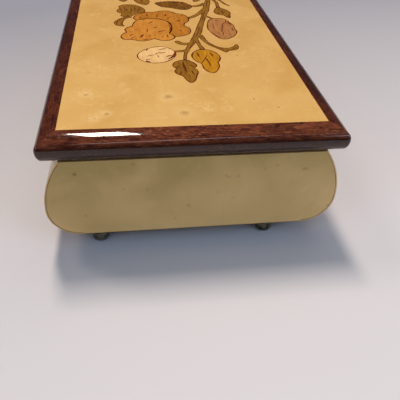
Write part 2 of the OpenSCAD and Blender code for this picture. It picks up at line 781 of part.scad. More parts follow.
bud_stem = [[-3, 67.8, 1.6], [0, 68, 1.8], [2.5, 68.4, 2], [4.6, 69.8, 2.4]];
flower_stem = [[8, 112.4, 2.6], [11.4, 114.6, 2.2], [15, 118.6, 2.2], [18.6, 124.6, 2.8], [20, 128, 2.6]];
dark_stem = [[12, 132, 2.6], [15.2, 132.5, 2.4], [18.6, 134.2, 2.4], [21.8, 137.4, 3]];
pink_stem = [[24, 110.6, 1.4], [20.6, 113.4, 1.3], [18.2, 118.4, 1.4]];
hanging_stem = [[28.4, 128.6, 2], [28.3, 134, 1.6], [28.6, 139, 1.6], [27, 145, 1.5], [25, 148.6, 1.4]];
tendril = [[35.3, 133, 0.9], [33.4, 135.8, 1.2], [32.3, 139, 1.2], [31, 143.4, 1.1], [27.6, 146.6, 1]];
far_stem = [[-14.6, 147.4, 1.5], [-8, 150.4, 1.4], [2, 150.8, 1.4], [12, 149.4, 1.5], [23.8, 144.6, 1.6]];
far_side_stem = [[-25.6, 150, 1.1], [-20, 152, 1.1], [-13, 151.2, 1.1], [-8, 150.4, 1.2]];

// Scale of the outlines, and the middle of the spray along the field
inlay_k = 2 * field_y / 99;
inlay_mid = (near_leaf[0][1] + tip_leaf[0][1]) / 2;

module flowers_2d() {
    shape(flower_back);
    shape(flower_front);
    shape(flower_lip);
}

module leaves_2d() {
    difference() {
        union() {
            shape(lobed_leaf);
            shape(curl_leaf);
        }
        flowers_2d();
    }
    shape(near_leaf);
    shape(far_leaf);
    shape(far_side_leaf);
    shape(hanging_leaf);
    shape(tip_leaf);
}

module gold_2d() {
    shape(gold_upper);
    shape(gold_lower);
}

module heads_2d() {
    flowers_2d();
    leaves_2d();
    gold_2d();
    shape(dark_leaf);
    shape(cream_bud);
    shape(pink_bud);
}

module stems_2d() {
    difference() {
        union() {
            stem(main_stem);
            stem(gold_stem);
            stem(bud_stem);
            stem(flower_stem);
            stem(dark_stem);
            stem(pink_stem);
            stem(hanging_stem);
            stem(tendril);
            stem(far_stem);
            stem(far_side_stem);
            shape(hook_stem);
            shape(curl_stem);
        }
        heads_2d();
    }
}

module inlaid() {
    translate([0, 0, z_top - veneer_t]) linear_extrude(veneer_t) children();
}

module figured_veneer() {
    color("Wheat") inlaid() difference() {
        square([2 * field_x, 2 * field_y], center = true);
        heads_2d();
        stems_2d();
    }
}

module inlay_stems() {
    color("Peru") inlaid() stems_2d();
}

module inlay_leaves() {
    color("Peru") inlaid() leaves_2d();
}

module inlay_dark_leaf() {
    color("Sienna") inlaid() shape(dark_leaf);
}

module inlay_flower_back() {
    color("DarkOrange") inlaid() {
        difference() {
            shape(flower_back);
            shape(flower_front);
            shape(flower_lip);
        }
    }
}

module inlay_flower_front() {
    color("Orange") {
        inlaid() difference() {
            shape(flower_front);
            shape(flower_lip);
        }
        inlaid() shape(flower_lip);
    }
}

module inlay_cream_bud() {
    color("Cornsilk") inlaid() shape(cream_bud);
}

module inlay_gold_leaf() {
    color("Gold") inlaid() gold_2d();
}

module inlay_pink_bud() {
    color("RosyBrown") inlaid() shape(pink_bud);
}

// Gears: an involute outline of a given number of teeth, thinned for play
pressure = 20;
function involute(a) = tan(a) * 180 / PI - a;
function tooth_half(r, n, m, thin) = 90 / n - thin / (n * m) * 180 / PI + involute(pressure)
    - involute(acos(min(1, n * m / 2 * cos(pressure) / r)));
function polar(r, a) = [r * cos(a), r * sin(a)];

module gear_2d(n, m, thin, bore) {
    rp = n * m / 2;
    rb = max(rp * cos(pressure), rp - 0.9 * m);
    rr = [rp - 1.25 * m, rb, rp, rp + 0.55 * m, rp + 0.95 * m];
    difference() {
        polygon([for (k = [0:n - 1]) each concat(
            [for (r = rr) polar(r, 360 * k / n - tooth_half(r, n, m, thin))],
            [for (i = [len(rr) - 1:-1:0]) polar(rr[i], 360 * k / n + tooth_half(rr[i], n, m, thin))])]);
        circle(r = bore);
    }
}

// Gear with its axis along Y, a tooth or a gap towards a chosen angle from +X to +Z
module gear_y(x, y, z, w, n, m, thin, bore, turn) {
    translate([x, y + w, z]) rotate([90, 0, 0]) linear_extrude(w) rotate(turn) gear_2d(n, m, thin, bore);
}

// Movement
module bedplate() {
    color("Silver") difference() {
        union() {
            translate([(bed_x0 + bed_x1) / 2, (bed_y0 + bed_y1) / 2, z_bed - bed_t])
                linear_extrude(bed_t) round_rect((bed_x1 - bed_x0) / 2, (bed_y1 - bed_y0) / 2, 4);
            for (p = post_at) rod_z(p[0], p[1], z_floor, z_bed - bite, post_r);
        }
        rod_z(axis_x, barrel_y, z_floor, z_bed + 1, arbor_r + run_fit);
        for (p = post_at) rod_z(p[0], p[1], z_floor - 1, z_bed + 1, move_shank_r + seat_fit);
        for (y = comb_screw_ys) rod_z(comb_screw_x, y, z_floor, z_bed + 1, move_shank_r + seat_fit);
    }
}

module movement_screws() {
    color("Gray") for (p = post_at) difference() {
        union() {
            rod_z(p[0], p[1], z_case + bite, z_case + move_head_h, move_head_r);
            rod_z(p[0], p[1], z_case + bite, z_bed, move_shank_r);
        }
        translate([p[0] - move_head_r, p[1] - 0.3, z_case]) cube([2 * move_head_r, 0.6, 0.8]);
    }
}

module cylinder_bracket() {
    color("DarkGoldenrod") difference() {
        union() {
            box([axis_x - 4.5, bracket_y, z_bed], [axis_x + 4.5, bracket_y + plate_t, z_axis]);
            rod_y(axis_x, bracket_y, bracket_y + plate_t, z_axis, 4.5);
            box([axis_x - 4.5, bracket_y - 5, z_bed], [axis_x + 4.5, bracket_y + bite, z_bed + 1]);
        }
        rod_y(axis_x, bracket_y - 1, bracket_y + plate_t + 1, z_axis, arbor_thin_r + run_fit);
    }
}

module governor_frame() {
    x0 = worm_x - 3;
    color("DarkGoldenrod") difference() {
        union() {
            box([x0, inner_cheek_y, z_bed], [gov_x + 4, inner_cheek_y + plate_t, z_strap + strap_t]);
            box([gov_x, inner_cheek_y, z_bed], [axis_x + 3.6, inner_cheek_y + plate_t, z_axis + 3.6]);
            box([x0, outer_cheek_y, z_bed], [gov_x + 4, outer_cheek_y + plate_t, z_strap + strap_t]);
            box([x0, outer_cheek_y, z_bed], [gov_x + 4, inner_cheek_y + plate_t, z_bed + 1]);
            box([x0, outer_cheek_y, z_strap], [worm_x + 3, inner_cheek_y + plate_t, z_strap + strap_t]);
            box([lever_x - 2, outer_cheek_y, z_strap - 4], [lever_x + 2, outer_cheek_y + plate_t, lever_z]);
            rod_y(lever_x, outer_cheek_y, outer_cheek_y + plate_t, lever_z, 2);
            rod_y(lever_x, lever_y - 1.4, outer_cheek_y + bite, lever_z, lever_pin_r);
        }
        rod_y(axis_x, inner_cheek_y - 1, inner_cheek_y + plate_t + 1, z_axis, arbor_thin_r + run_fit);
        rod_y(gov_x, outer_cheek_y - 1, inner_cheek_y + plate_t + 1, z_axis, gov_shaft_r + run_fit);
        rod_z(worm_x, worm_y, z_bed + 0.3, z_strap + strap_t + 1, fly_shaft_r + run_fit);
    }
}

comb_screw_ys = [comb_y0 + comb_w * 0.2, comb_y0 + comb_w * 0.8];

module comb_block() {
    color("DarkGoldenrod") difference() {
        box([comb_x0 + comb_l - comb_base_l, comb_y0, z_bed], [comb_x0 + comb_l, comb_y0 + comb_w, z_comb]);
        for (y = comb_screw_ys) rod_z(comb_screw_x, y, z_bed - 1, z_comb + 1, move_shank_r + seat_fit);
    }
}

// Comb with teeth that grow longer towards the low notes
module comb() {
    slot_w = 0.35;
    color("Gainsboro") difference() {
        box([comb_x0, comb_y0, z_comb], [comb_x0 + comb_l, comb_y0 + comb_w, z_comb + comb_t]);
        for (i = [1:notes - 1])
            translate([comb_x0 - 1, comb_y0 + i * note_pitch - slot_w / 2, z_comb - 1])
                cube([1 + tooth_short + (tooth_long - tooth_short) * i / notes, slot_w, comb_t + 2]);
        for (y = comb_screw_ys) rod_z(comb_screw_x, y, z_comb - 1, z_comb + comb_t + 1, move_shank_r + seat_fit);
    }
}

module comb_screws() {
    color("Gray") for (y = comb_screw_ys) difference() {
        union() {
            rod_z(comb_screw_x, y, z_comb + comb_t, z_comb + comb_t + 1.6, 2.4);
            rod_z(comb_screw_x, y, z_bed - bed_t + 0.3, z_comb + comb_t + bite, move_shank_r);
        }
        translate([comb_screw_x - 3, y - 0.3, z_comb + comb_t + 0.9]) cube([6, 0.6, 1]);
    }
}

// Pins of the tune: rows at the comb teeth, each row with its own run of angles
module tune_pins() {
    for (i = [0:notes - 1], k = [0:3])
        translate([axis_x, comb_y0 + (i + 0.5) * note_pitch, z_axis])
            rotate([0, 24 + 79 * k + 37 * i + 11 * ((i * k) % 5), 0])
                translate([0, 0, drum_r - 0.4]) cylinder(r = 0.28, h = pin_h + 0.4);
}

module pinned_cylinder() {
    color("Goldenrod") difference() {
        union() {
            rod_y(axis_x, drum_y0, drum_y1, z_axis, drum_r);
            tune_pins();
        }
        rod_y(axis_x, drum_y0 - 1, drum_y1 + 1, z_axis, arbor_thin_r + seat_fit);
    }
}

module cylinder_arbor() {
    color("Silver") {
        rod_y(axis_x, inner_cheek_y - 0.4, pinion_y + pinion_w + 0.2, z_axis, arbor_thin_r);
        gear_y(axis_x, pinion_y, z_axis, pinion_w, pinion_teeth, crown_m, 0.3, arbor_thin_r - bite,
            270 + 180 / pinion_teeth);
        gear_y(axis_x, wheel_y, z_axis, wheel_w, wheel_teeth, gov_m, 0.12, arbor_thin_r - bite, 180);
    }
}

// Crown wheel and cup of the spring barrel
module spring_barrel() {
    p = 2 * PI * crown_r / crown_teeth;
    low = 1.25 * crown_m;
    high = 0.95 * crown_m;
    half_w = (p / 2 - 0.3) / 2;
    slope = tan(pressure);
    color("Goldenrod") translate([axis_x, barrel_y, 0]) difference() {
        union() {
            rod_z(0, 0, z_crown, z_crown_top, crown_out);
            for (k = [0:crown_teeth - 1]) rotate(360 * k / crown_teeth)
                translate([0, -crown_r + 1, z_crown_top]) rotate([90, 0, 0]) linear_extrude(2)
                    polygon([[-half_w - low * slope, -bite], [half_w + low * slope, -bite],
                        [half_w - high * slope, low + high], [-half_w + high * slope, low + high]]);
            rod_z(0, 0, z_crown_top - bite, z_crown_top + barrel_h, barrel_r);
        }
        rod_z(0, 0, z_crown_top, z_crown_top + barrel_h - 1, barrel_r - 0.8);
        rod_z(0, 0, z_crown - 1, z_crown_top + barrel_h + 1, arbor_r + run_fit);
    }
}

// Mainspring, coiled between the arbor and the barrel wall
module mainspring() {
    turns = 6;
    steps = 20;
    thick = 0.45;
    r0 = arbor_r + 1.2;
    r1 = barrel_r - 0.8 - thick / 2;
    n = turns * steps;
    function coil(i, s) = polar(r0 + (r1 - r0) * i / n + s * thick / 2, 360 * i / steps);
    color("DimGray") translate([axis_x, barrel_y, z_crown_top]) linear_extrude(barrel_h - 1.6)
        polygon(concat([for (i = [0:n]) coil(i, 1)], [for (i = [n:-1:0]) coil(i, -1)]));
}

module winding_arbor() {
    color("Silver") {
        rod_z(axis_x, barrel_y, z_key_mid - 0.5, z_crown_top + barrel_h + 0.6, arbor_r);
        rod_z(axis_x, barrel_y, z_bed + 0.05, z_crown - 0.35, arbor_r + 1);
    }
}

module winding_key() {
    color("Goldenrod") translate([axis_x, barrel_y, 0]) difference() {
        union() {
            rod_z(0, 0, z_key_mid, z_case - key_gap, key_hub_r);
            for (sx = [-1, 1])
                rod_y(sx * (key_w / 2 - key_lobe_r), -key_t / 2, key_t / 2, z_key_mid, key_lobe_r);
            box([-key_w / 2 + key_lobe_r, -key_t / 2, z_key_mid - 1.6], [key_w / 2 - key_lobe_r, key_t / 2, z_key_mid + 1.6]);
        }
        rod_z(0, 0, z_key_mid - 0.5, z_case, arbor_r + seat_fit);
        for (sx = [-1, 1]) rod_y(sx * (key_w / 2 - key_lobe_r), -key_t, key_t, z_key_mid, 1.2);
    }
}

module governor_wheel() {
    color("Goldenrod") {
        rod_y(gov_x, outer_cheek_y - 0.3, wheel_y + wheel_w + 0.3, z_axis, gov_shaft_r);
        gear_y(gov_x, wheel_y - 0.2, z_axis, wheel_w + 0.4, gov_teeth, gov_m, 0.12, gov_shaft_r - bite,
            180 / gov_teeth);
        gear_y(gov_x, worm_wheel_y, z_axis, wheel_w, worm_wheel_teeth, worm_wheel_m, 0.12, gov_shaft_r - bite, 0);
    }
}

// Worm shaft with the air-brake wings on top
module fly() {
    color("Gainsboro") translate([worm_x, worm_y, 0]) {
        rod_z(0, 0, z_bed + 0.4, z_fly + fly_h, fly_shaft_r);
        rod_z(0, 0, z_axis - 4.5, z_axis + 4.5, worm_r);
        rod_z(0, 0, z_fly, z_fly + fly_h, 0.9);
        box([-fly_r, -0.2, z_fly], [fly_r, 0.2, z_fly + fly_h]);
    }
}

// Wire lever that the lid holds down, on its pin beside the fly
lever_pin_r = 0.8;

module stop_lever() {
    eye = [lever_x, lever_y, lever_z];
    foot = [upright_x, lever_y, lever_z];
    top = [upright_x, lever_y, upright_top - wire_r];
    color("Silver") difference() {
        union() {
            wire(eye, foot);
            wire(foot, top);
            rod_y(lever_x, lever_y - wire_r, lever_y + wire_r, lever_z, lever_pin_r + 1);
        }
        rod_y(lever_x, lever_y - 2, lever_y + 2, lever_z, lever_pin_r + run_fit);
    }
}

bottom_board();
front_side();
back_side();
end_board_left();
end_board_right();
front_veneer();
back_veneer();
end_veneer_left();
end_veneer_right();
partition();
cover_ledge();
foot_front_left();
foot_front_right();
foot_back_left();
foot_back_right();
floor_lining();
front_lining();
back_lining();
end_lining();
partition_lining();
clear_cover();
cover_screws();
case_leaf_left();
case_leaf_right();
hinge_pins();
case_leaf_screws();
lid_core();
border_front();
border_back();
border_left();
border_right();
figured_veneer();
inlay_stems();
inlay_leaves();
inlay_dark_leaf();
inlay_flower_back();
inlay_flower_front();
inlay_cream_bud();
inlay_gold_leaf();
inlay_pink_bud();
lid_lining();
lid_leaf_left();
lid_leaf_right();
lid_leaf_screws();
bedplate();
movement_screws();
cylinder_bracket();
governor_frame();
comb_block();
comb();
comb_screws();
pinned_cylinder();
cylinder_arbor();
spring_barrel();
mainspring();
winding_arbor();
winding_key();
governor_wheel();
fly();
stop_lever();
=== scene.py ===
"""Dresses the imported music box: lacquered veneers, floral inlay, velvet, and a brass and steel movement."""

import bpy
import numpy as np
from mathutils import Matrix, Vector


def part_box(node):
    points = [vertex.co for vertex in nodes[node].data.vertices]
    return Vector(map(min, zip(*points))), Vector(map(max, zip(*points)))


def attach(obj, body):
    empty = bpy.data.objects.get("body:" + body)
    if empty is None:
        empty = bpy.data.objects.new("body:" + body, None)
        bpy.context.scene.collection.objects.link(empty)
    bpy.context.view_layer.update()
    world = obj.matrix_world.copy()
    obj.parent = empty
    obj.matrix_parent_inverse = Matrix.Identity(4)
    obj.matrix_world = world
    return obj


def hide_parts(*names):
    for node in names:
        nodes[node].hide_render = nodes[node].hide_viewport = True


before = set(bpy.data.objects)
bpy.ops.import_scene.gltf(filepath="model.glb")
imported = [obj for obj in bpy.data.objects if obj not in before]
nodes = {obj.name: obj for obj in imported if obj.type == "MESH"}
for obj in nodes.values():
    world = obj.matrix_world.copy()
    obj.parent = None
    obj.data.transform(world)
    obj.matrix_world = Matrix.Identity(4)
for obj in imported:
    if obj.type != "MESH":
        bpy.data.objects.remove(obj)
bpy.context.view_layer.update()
MM = 0.001
X, Y, Z = range(3)

# The inlay is drawn on a field 99 units wide: across from the lid's middle line, along from its near end
FIELD_UNITS = 99
INLAY_MID = 93.85
field_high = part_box("figured_veneer")[1]
LID_TOP = field_high.z
INLAY_UNIT = 2 * field_high.y / FIELD_UNITS


def on_lid(across, along):
    """Place on the lid of an inlay point: X runs along the lid from its middle, Y runs against across."""
    return (along - INLAY_MID) * INLAY_UNIT, -across * INLAY_UNIT, LID_TOP


# Material tools

def linear(code):
    """Turns an sRGB hex code into a linear colour: a straight line below 0.04045, a power of 2.4 above it."""
    c = np.array([int(code[i:i + 2], 16) for i in (1, 3, 5)]) / 255
    c = np.where(c > 0.04045, ((c + 0.055) / 1.055) ** 2.4, c / 12.92)
    return (*c.tolist(), 1.0)


def add(mat, kind, inputs, **settings):
    """Adds a node with its settings; each input takes a value or another node's output."""
    tree = mat.node_tree
    node = tree.nodes.new("ShaderNode" + kind)
    for key, value in settings.items():
        setattr(node, key, value)
    for key, value in inputs.items():
        if isinstance(value, bpy.types.NodeSocket):
            tree.links.new(value, node.inputs[key])
        else:
            node.inputs[key].default_value = value
    return node


def material(name, sockets):
    """A material with one Principled shader; returns it, the shader and the object coordinates."""
    mat = bpy.data.materials.new(name)
    mat.use_nodes = True
    shader = mat.node_tree.nodes["Principled BSDF"]
    for key, value in sockets.items():
        shader.inputs[key].default_value = value
    place = add(mat, "TexCoord", {}).outputs["Object"]
    return mat, shader, place


def wire(mat, shader, sockets):
    """Links node outputs to the inputs of a shader."""
    for key, value in sockets.items():
        mat.node_tree.links.new(value, shader.inputs[key])


def drawn_out(along, across_mm, along_mm):
    """Scale of a pattern that is drawn out along one axis, as wood grain and tool lines are."""
    scale = [1 / (across_mm * MM)] * 3
    scale[along] = 1 / (along_mm * MM)
    return scale


# Polyester lacquer, poured thick and buffed: a clear hard layer with a slight swell. The wood lies wet in it,
# so that only the lacquer's face shines
LACQUER = {"Coat Weight": 1.0, "Coat Roughness": 0.06, "Coat IOR": 1.5, "Roughness": 0.45,
           "Specular IOR Level": 0.0}


def lacquer_swell(mat, shader, place, swell_mm, height_mm):
    """Gives the lacquer its slow swell: a noise of the given width and height."""
    wave = add(mat, "TexNoise", {"Vector": place, "Scale": 1 / (swell_mm * MM), "Detail": 1.0})
    bump = add(mat, "Bump", {"Height": wave.outputs["Fac"], "Distance": height_mm * MM, "Strength": 1.0})
    wire(mat, shader, {"Coat Normal": bump.outputs["Normal"]})


def maple(name, pale, deep, light, speck, along, lines_share, flecks, shade_climb, eyes, patches):
    """Figured maple, sliced thin and lacquered: a cloudy gold with faint grain, peel flecks and patches of
    them, pin knots and a few bird's eyes. Shade climb is painted shade: how fast the deeper tone gains with
    height, so the top of a piece is darker as if shaded by the lid above it."""
    cloud_width = 34 * MM
    climb_low = 15 * MM
    climb_high = 40 * MM
    fleck_width = 4.5 * MM
    torn_width = 2.6 * MM
    knot_gap = 15 * MM
    eye_ragged = 1.4
    halo_inner, halo_outer = 1.9, 3.4
    pupil_inner, pupil_outer = 0.8, 1.7
    pale, deep, light, speck = (linear(code) for code in (pale, deep, light, speck))
    mat, shader, place = material(name, LACQUER)
    cloud = add(mat, "TexNoise", {"Vector": place, "Scale": 1 / cloud_width, "Detail": 3.0,
                                  "Distortion": 0.6})
    # Painted shade: a shade climb above nought makes the deeper tone gain towards the top of the piece
    level = add(mat, "SeparateXYZ", {"Vector": place})
    climbing = add(mat, "Math", {0: level.outputs["Z"], 1: shade_climb, 2: cloud.outputs["Fac"]},
                   operation="MULTIPLY_ADD")
    cloud_share = add(mat, "MapRange", {"Value": climbing.outputs["Value"],
                                        "From Min": 0.36 + shade_climb * climb_low,
                                        "From Max": 0.66 + shade_climb * climb_high})
    tone = add(mat, "Mix", {0: cloud_share.outputs["Result"], 6: pale, 7: deep}, data_type="RGBA")
    lines = add(mat, "Mapping", {"Vector": place, "Scale": drawn_out(along, across_mm=2.4, along_mm=70)})
    grain = add(mat, "TexNoise", {"Vector": lines.outputs["Vector"], "Scale": 1.0, "Detail": 4.0,
                                  "Roughness": 0.6})
    grain_share = add(mat, "MapRange", {"Value": grain.outputs["Fac"], "From Min": 0.45, "From Max": 0.75,
                                        "To Max": lines_share})
    tone = add(mat, "Mix", {0: grain_share.outputs["Result"], 6: tone.outputs[2], 7: deep}, data_type="RGBA")
    fleck = add(mat, "TexNoise", {"Vector": place, "Scale": 1 / fleck_width, "Detail": 2.0,
                                  "Distortion": 1.2})
    fleck_share = add(mat, "MapRange", {"Value": fleck.outputs["Fac"], "From Min": 0.58, "From Max": 0.76,
                                        "To Max": flecks})
    peel = fleck_share.outputs["Result"]
    torn = add(mat, "TexNoise", {"Vector": place, "Scale": 1 / torn_width, "Detail": 2.0, "Distortion": 1.6})
    torn_share = add(mat, "MapRange", {"Value": torn.outputs["Fac"], "From Min": 0.42, "From Max": 0.62})
    for centre, size, depth in patches:
        reach = add(mat, "VectorMath", {0: place, 1: centre}, operation="DISTANCE")
        patch = add(mat, "MapRange", {"Value": reach.outputs["Value"], "From Max": size, "To Min": depth,
                                      "To Max": 0.0})
        broken = add(mat, "Math", {0: patch.outputs["Result"], 1: torn_share.outputs["Result"]},
                     operation="MULTIPLY")
        peel = add(mat, "Math", {0: peel, 1: broken.outputs["Value"]}, operation="MAXIMUM").outputs["Value"]
    tone = add(mat, "Mix", {0: peel, 6: tone.outputs[2], 7: light}, data_type="RGBA")
    knots = add(mat, "TexVoronoi", {"Vector": place, "Scale": 1 / knot_gap, "Randomness": 1.0})
    knot_share = add(mat, "MapRange", {"Value": knots.outputs["Distance"], "From Min": 0.02, "From Max": 0.08,
                                       "To Min": 0.3, "To Max": 0.0})
    tone = add(mat, "Mix", {0: knot_share.outputs["Result"], 6: tone.outputs[2], 7: speck}, data_type="RGBA")
    for centre, size, depth, ring in eyes:
        reach = add(mat, "VectorMath", {0: place, 1: centre}, operation="DISTANCE")
        ragged = add(mat, "Math", {0: fleck.outputs["Fac"], 1: size * eye_ragged, 2: reach.outputs["Value"]},
                     operation="MULTIPLY_ADD")
        halo = add(mat, "MapRange", {"Value": ragged.outputs["Value"], "From Min": size * halo_inner,
                                     "From Max": size * halo_outer, "To Min": ring, "To Max": 0.0})
        tone = add(mat, "Mix", {0: halo.outputs["Result"], 6: tone.outputs[2], 7: light}, data_type="RGBA")
        pupil = add(mat, "MapRange", {"Value": ragged.outputs["Value"], "From Min": size * pupil_inner,
                                      "From Max": size * pupil_outer, "To Min": depth, "To Max": 0.0})
        tone = add(mat, "Mix", {0: pupil.outputs["Result"], 6: tone.outputs[2], 7: speck}, data_type="RGBA")
    wire(mat, shader, {"Base Color": tone.outputs[2]})
    lacquer_swell(mat, shader, place, swell_mm=14, height_mm=0.012)
    return mat


def rosewood(name, along, dark, mid, rust, edge):
    """Rosewood, planed and lacquered: near-black pores and streaks on red brown, with short rusty flecks. The
    moulded edge is painted darker below the crease: painted shade where it turns down away from the light."""
    band_width = 40 * MM
    edge_low = LID_TOP - 4.5 * MM
    edge_high = LID_TOP - 2 * MM
    dark, mid, rust, edge = (linear(code) for code in (dark, mid, rust, edge))
    mat, shader, place = material(name, LACQUER)
    lines = add(mat, "Mapping", {"Vector": place, "Scale": drawn_out(along, across_mm=1.5, along_mm=7)})
    streak = add(mat, "TexNoise", {"Vector": lines.outputs["Vector"], "Scale": 1.0, "Detail": 5.0,
                                   "Roughness": 0.65, "Distortion": 0.8})
    streak_share = add(mat, "MapRange", {"Value": streak.outputs["Fac"], "From Min": 0.36, "From Max": 0.62})
    tone = add(mat, "Mix", {0: streak_share.outputs["Result"], 6: dark, 7: mid}, data_type="RGBA")
    fleck = add(mat, "TexNoise", {"Vector": lines.outputs["Vector"], "Scale": 1.9, "Detail": 3.0,
                                  "Distortion": 1.5})
    fleck_share = add(mat, "MapRange", {"Value": fleck.outputs["Fac"], "From Min": 0.56, "From Max": 0.7,
                                        "To Max": 0.75})
    tone = add(mat, "Mix", {0: fleck_share.outputs["Result"], 6: tone.outputs[2], 7: rust}, data_type="RGBA")
    band = add(mat, "TexNoise", {"Vector": place, "Scale": 1 / band_width, "Detail": 1.0})
    band_share = add(mat, "MapRange", {"Value": band.outputs["Fac"], "From Min": 0.4, "From Max": 0.65,
                                       "To Max": 0.55})
    tone = add(mat, "Mix", {0: band_share.outputs["Result"], 6: tone.outputs[2], 7: dark}, data_type="RGBA")
    # Painted shade: below the crease the moulded edge is mixed towards the near-black edge colour
    level = add(mat, "SeparateXYZ", {"Vector": place})
    edge_shade = add(mat, "MapRange", {"Value": level.outputs["Z"], "From Min": edge_low,
                                       "From Max": edge_high, "To Min": 0.75, "To Max": 0.0})
    tone = add(mat, "Mix", {0: edge_shade.outputs["Result"], 6: tone.outputs[2], 7: edge}, data_type="RGBA")
    wire(mat, shader, {"Base Color": tone.outputs[2]})
    lacquer_swell(mat, shader, place, swell_mm=6, height_mm=0.016)
    return mat


def inlay_wood(name, pale, deep, grain_mm, shade):
    """Dyed inlay veneer under the same lacquer: fine grain lines and cloudy scorching from hot sand."""
    scorch_width = 8 * MM
    pale, deep = linear(pale), linear(deep)
    mat, shader, place = material(name, LACQUER)
    lines = add(mat, "Mapping", {"Vector": place, "Scale": drawn_out(X, across_mm=grain_mm, along_mm=9)})
    grain = add(mat, "TexNoise", {"Vector": lines.outputs["Vector"], "Scale": 1.0, "Detail": 3.0,
                                  "Distortion": 0.4})
    grain_share = add(mat, "MapRange", {"Value": grain.outputs["Fac"], "From Min": 0.4, "From Max": 0.68,
                                        "To Max": 0.7})
    tone = add(mat, "Mix", {0: grain_share.outputs["Result"], 6: pale, 7: deep}, data_type="RGBA")
    scorch = add(mat, "TexNoise", {"Vector": place, "Scale": 1 / scorch_width, "Detail": 2.0})
    scorch_share = add(mat, "MapRange", {"Value": scorch.outputs["Fac"], "From Min": 0.45, "From Max": 0.75,
                                         "To Max": shade})
    tone = add(mat, "Mix", {0: scorch_share.outputs["Result"], 6: tone.outputs[2], 7: deep}, data_type="RGBA")
    wire(mat, shader, {"Base Color": tone.outputs[2]})
    lacquer_swell(mat, shader, place, swell_mm=14, height_mm=0.012)
    return mat


def bare_wood(name, pale, deep, along):
    """Poplar of the carcass, planed and sealed but not polished: pale and dull, with soft straight grain."""
    mat, shader, place = material(name, {"Roughness": 0.6})
    lines = add(mat, "Mapping", {"Vector": place, "Scale": drawn_out(along, across_mm=1.6, along_mm=45)})
    grain = add(mat, "TexNoise", {"Vector": lines.outputs["Vector"], "Scale": 1.0, "Detail": 5.0,
                                  "Roughness": 0.6, "Distortion": 0.5})
    share = add(mat, "MapRange", {"Value": grain.outputs["Fac"], "From Min": 0.35, "From Max": 0.7})
    tone = add(mat, "Mix", {0: share.outputs["Result"], 6: linear(pale), 7: linear(deep)}, data_type="RGBA")
    bump = add(mat, "Bump", {"Height": grain.outputs["Fac"], "Distance": 0.05 * MM, "Strength": 0.6})
    wire(mat, shader, {"Base Color": tone.outputs[2], "Normal": bump.outputs["Normal"]})
    return mat


def metal(name, bright, dull, rough, brush_mm, along, dull_share, cloud_mm):
    """A worked metal: fine tool lines one way, and clouds of tarnish that are darker and rougher."""
    mat, shader, place = material(name, {"Metallic": 1.0})
    lines = add(mat, "Mapping", {"Vector": place, "Scale": drawn_out(along, across_mm=brush_mm, along_mm=12)})
    brush = add(mat, "TexNoise", {"Vector": lines.outputs["Vector"], "Scale": 1.0, "Detail": 2.0})
    cloud = add(mat, "TexNoise", {"Vector": place, "Scale": 1 / (cloud_mm * MM), "Detail": 3.0})
    share = add(mat, "MapRange", {"Value": cloud.outputs["Fac"], "From Min": 0.42, "From Max": 0.68,
                                  "To Max": dull_share})
    tone = add(mat, "Mix", {0: share.outputs["Result"], 6: linear(bright), 7: linear(dull)}, data_type="RGBA")
    gloss = add(mat, "MapRange", {"Value": cloud.outputs["Fac"], "From Min": 0.3, "From Max": 0.75,
                                  "To Min": rough * 0.75, "To Max": rough * 1.5})
    bump = add(mat, "Bump", {"Height": brush.outputs["Fac"], "Distance": 0.004 * MM, "Strength": 0.5})
    wire(mat, shader, {"Base Color": tone.outputs[2], "Roughness": gloss.outputs["Result"],
                       "Normal": bump.outputs["Normal"]})
    return mat


def velvet_cloth(name, pile, deep):
    """Cotton velvet: a short soft pile, dark face-on and lighter at the edges, with pressed patches.
    The pile is 0.1 mm and is drawn at 0.5 mm so that it shows."""
    press_width = 16 * MM
    nap_width = 0.5 * MM
    pile, deep = linear(pile), linear(deep)
    mat, shader, place = material(name, {"Roughness": 0.95, "Specular IOR Level": 0.15, "Sheen Weight": 0.7,
                                         "Sheen Roughness": 0.35, "Sheen Tint": linear("#E27C82")})
    press = add(mat, "TexNoise", {"Vector": place, "Scale": 1 / press_width, "Detail": 3.0,
                                  "Distortion": 0.8})
    press_share = add(mat, "MapRange", {"Value": press.outputs["Fac"], "From Min": 0.38, "From Max": 0.66})
    tone = add(mat, "Mix", {0: press_share.outputs["Result"], 6: pile, 7: deep}, data_type="RGBA")
    nap = add(mat, "TexNoise", {"Vector": place, "Scale": 1 / nap_width, "Detail": 2.0})
    nap_share = add(mat, "MapRange", {"Value": nap.outputs["Fac"], "From Min": 0.4, "From Max": 0.7,
                                      "To Max": 0.4})
    tone = add(mat, "Mix", {0: nap_share.outputs["Result"], 6: tone.outputs[2], 7: deep}, data_type="RGBA")
    bump = add(mat, "Bump", {"Height": nap.outputs["Fac"], "Distance": 0.12 * MM, "Strength": 0.7})
    wire(mat, shader, {"Base Color": tone.outputs[2], "Normal": bump.outputs["Normal"]})
    return mat


def acrylic(name):
    """Cast acrylic sheet: clear with a faint cool edge, polished, with hair scratches that catch light."""
    scratch_size = np.array([22, 0.5, 4]) * MM
    scratch_turn = (0.0, 0.0, 0.5)
    mat, shader, place = material(name, {"Base Color": linear("#F4FAF8"), "Transmission Weight": 1.0,
                                         "IOR": 1.49})
    hair = add(mat, "Mapping", {"Vector": place, "Scale": 1 / scratch_size, "Rotation": scratch_turn})
    scratch = add(mat, "TexNoise", {"Vector": hair.outputs["Vector"], "Scale": 1.0, "Detail": 2.0})
    gloss = add(mat, "MapRange", {"Value": scratch.outputs["Fac"], "From Min": 0.6, "From Max": 0.75,
                                  "To Min": 0.015, "To Max": 0.12})
    wire(mat, shader, {"Roughness": gloss.outputs["Result"]})
    return mat


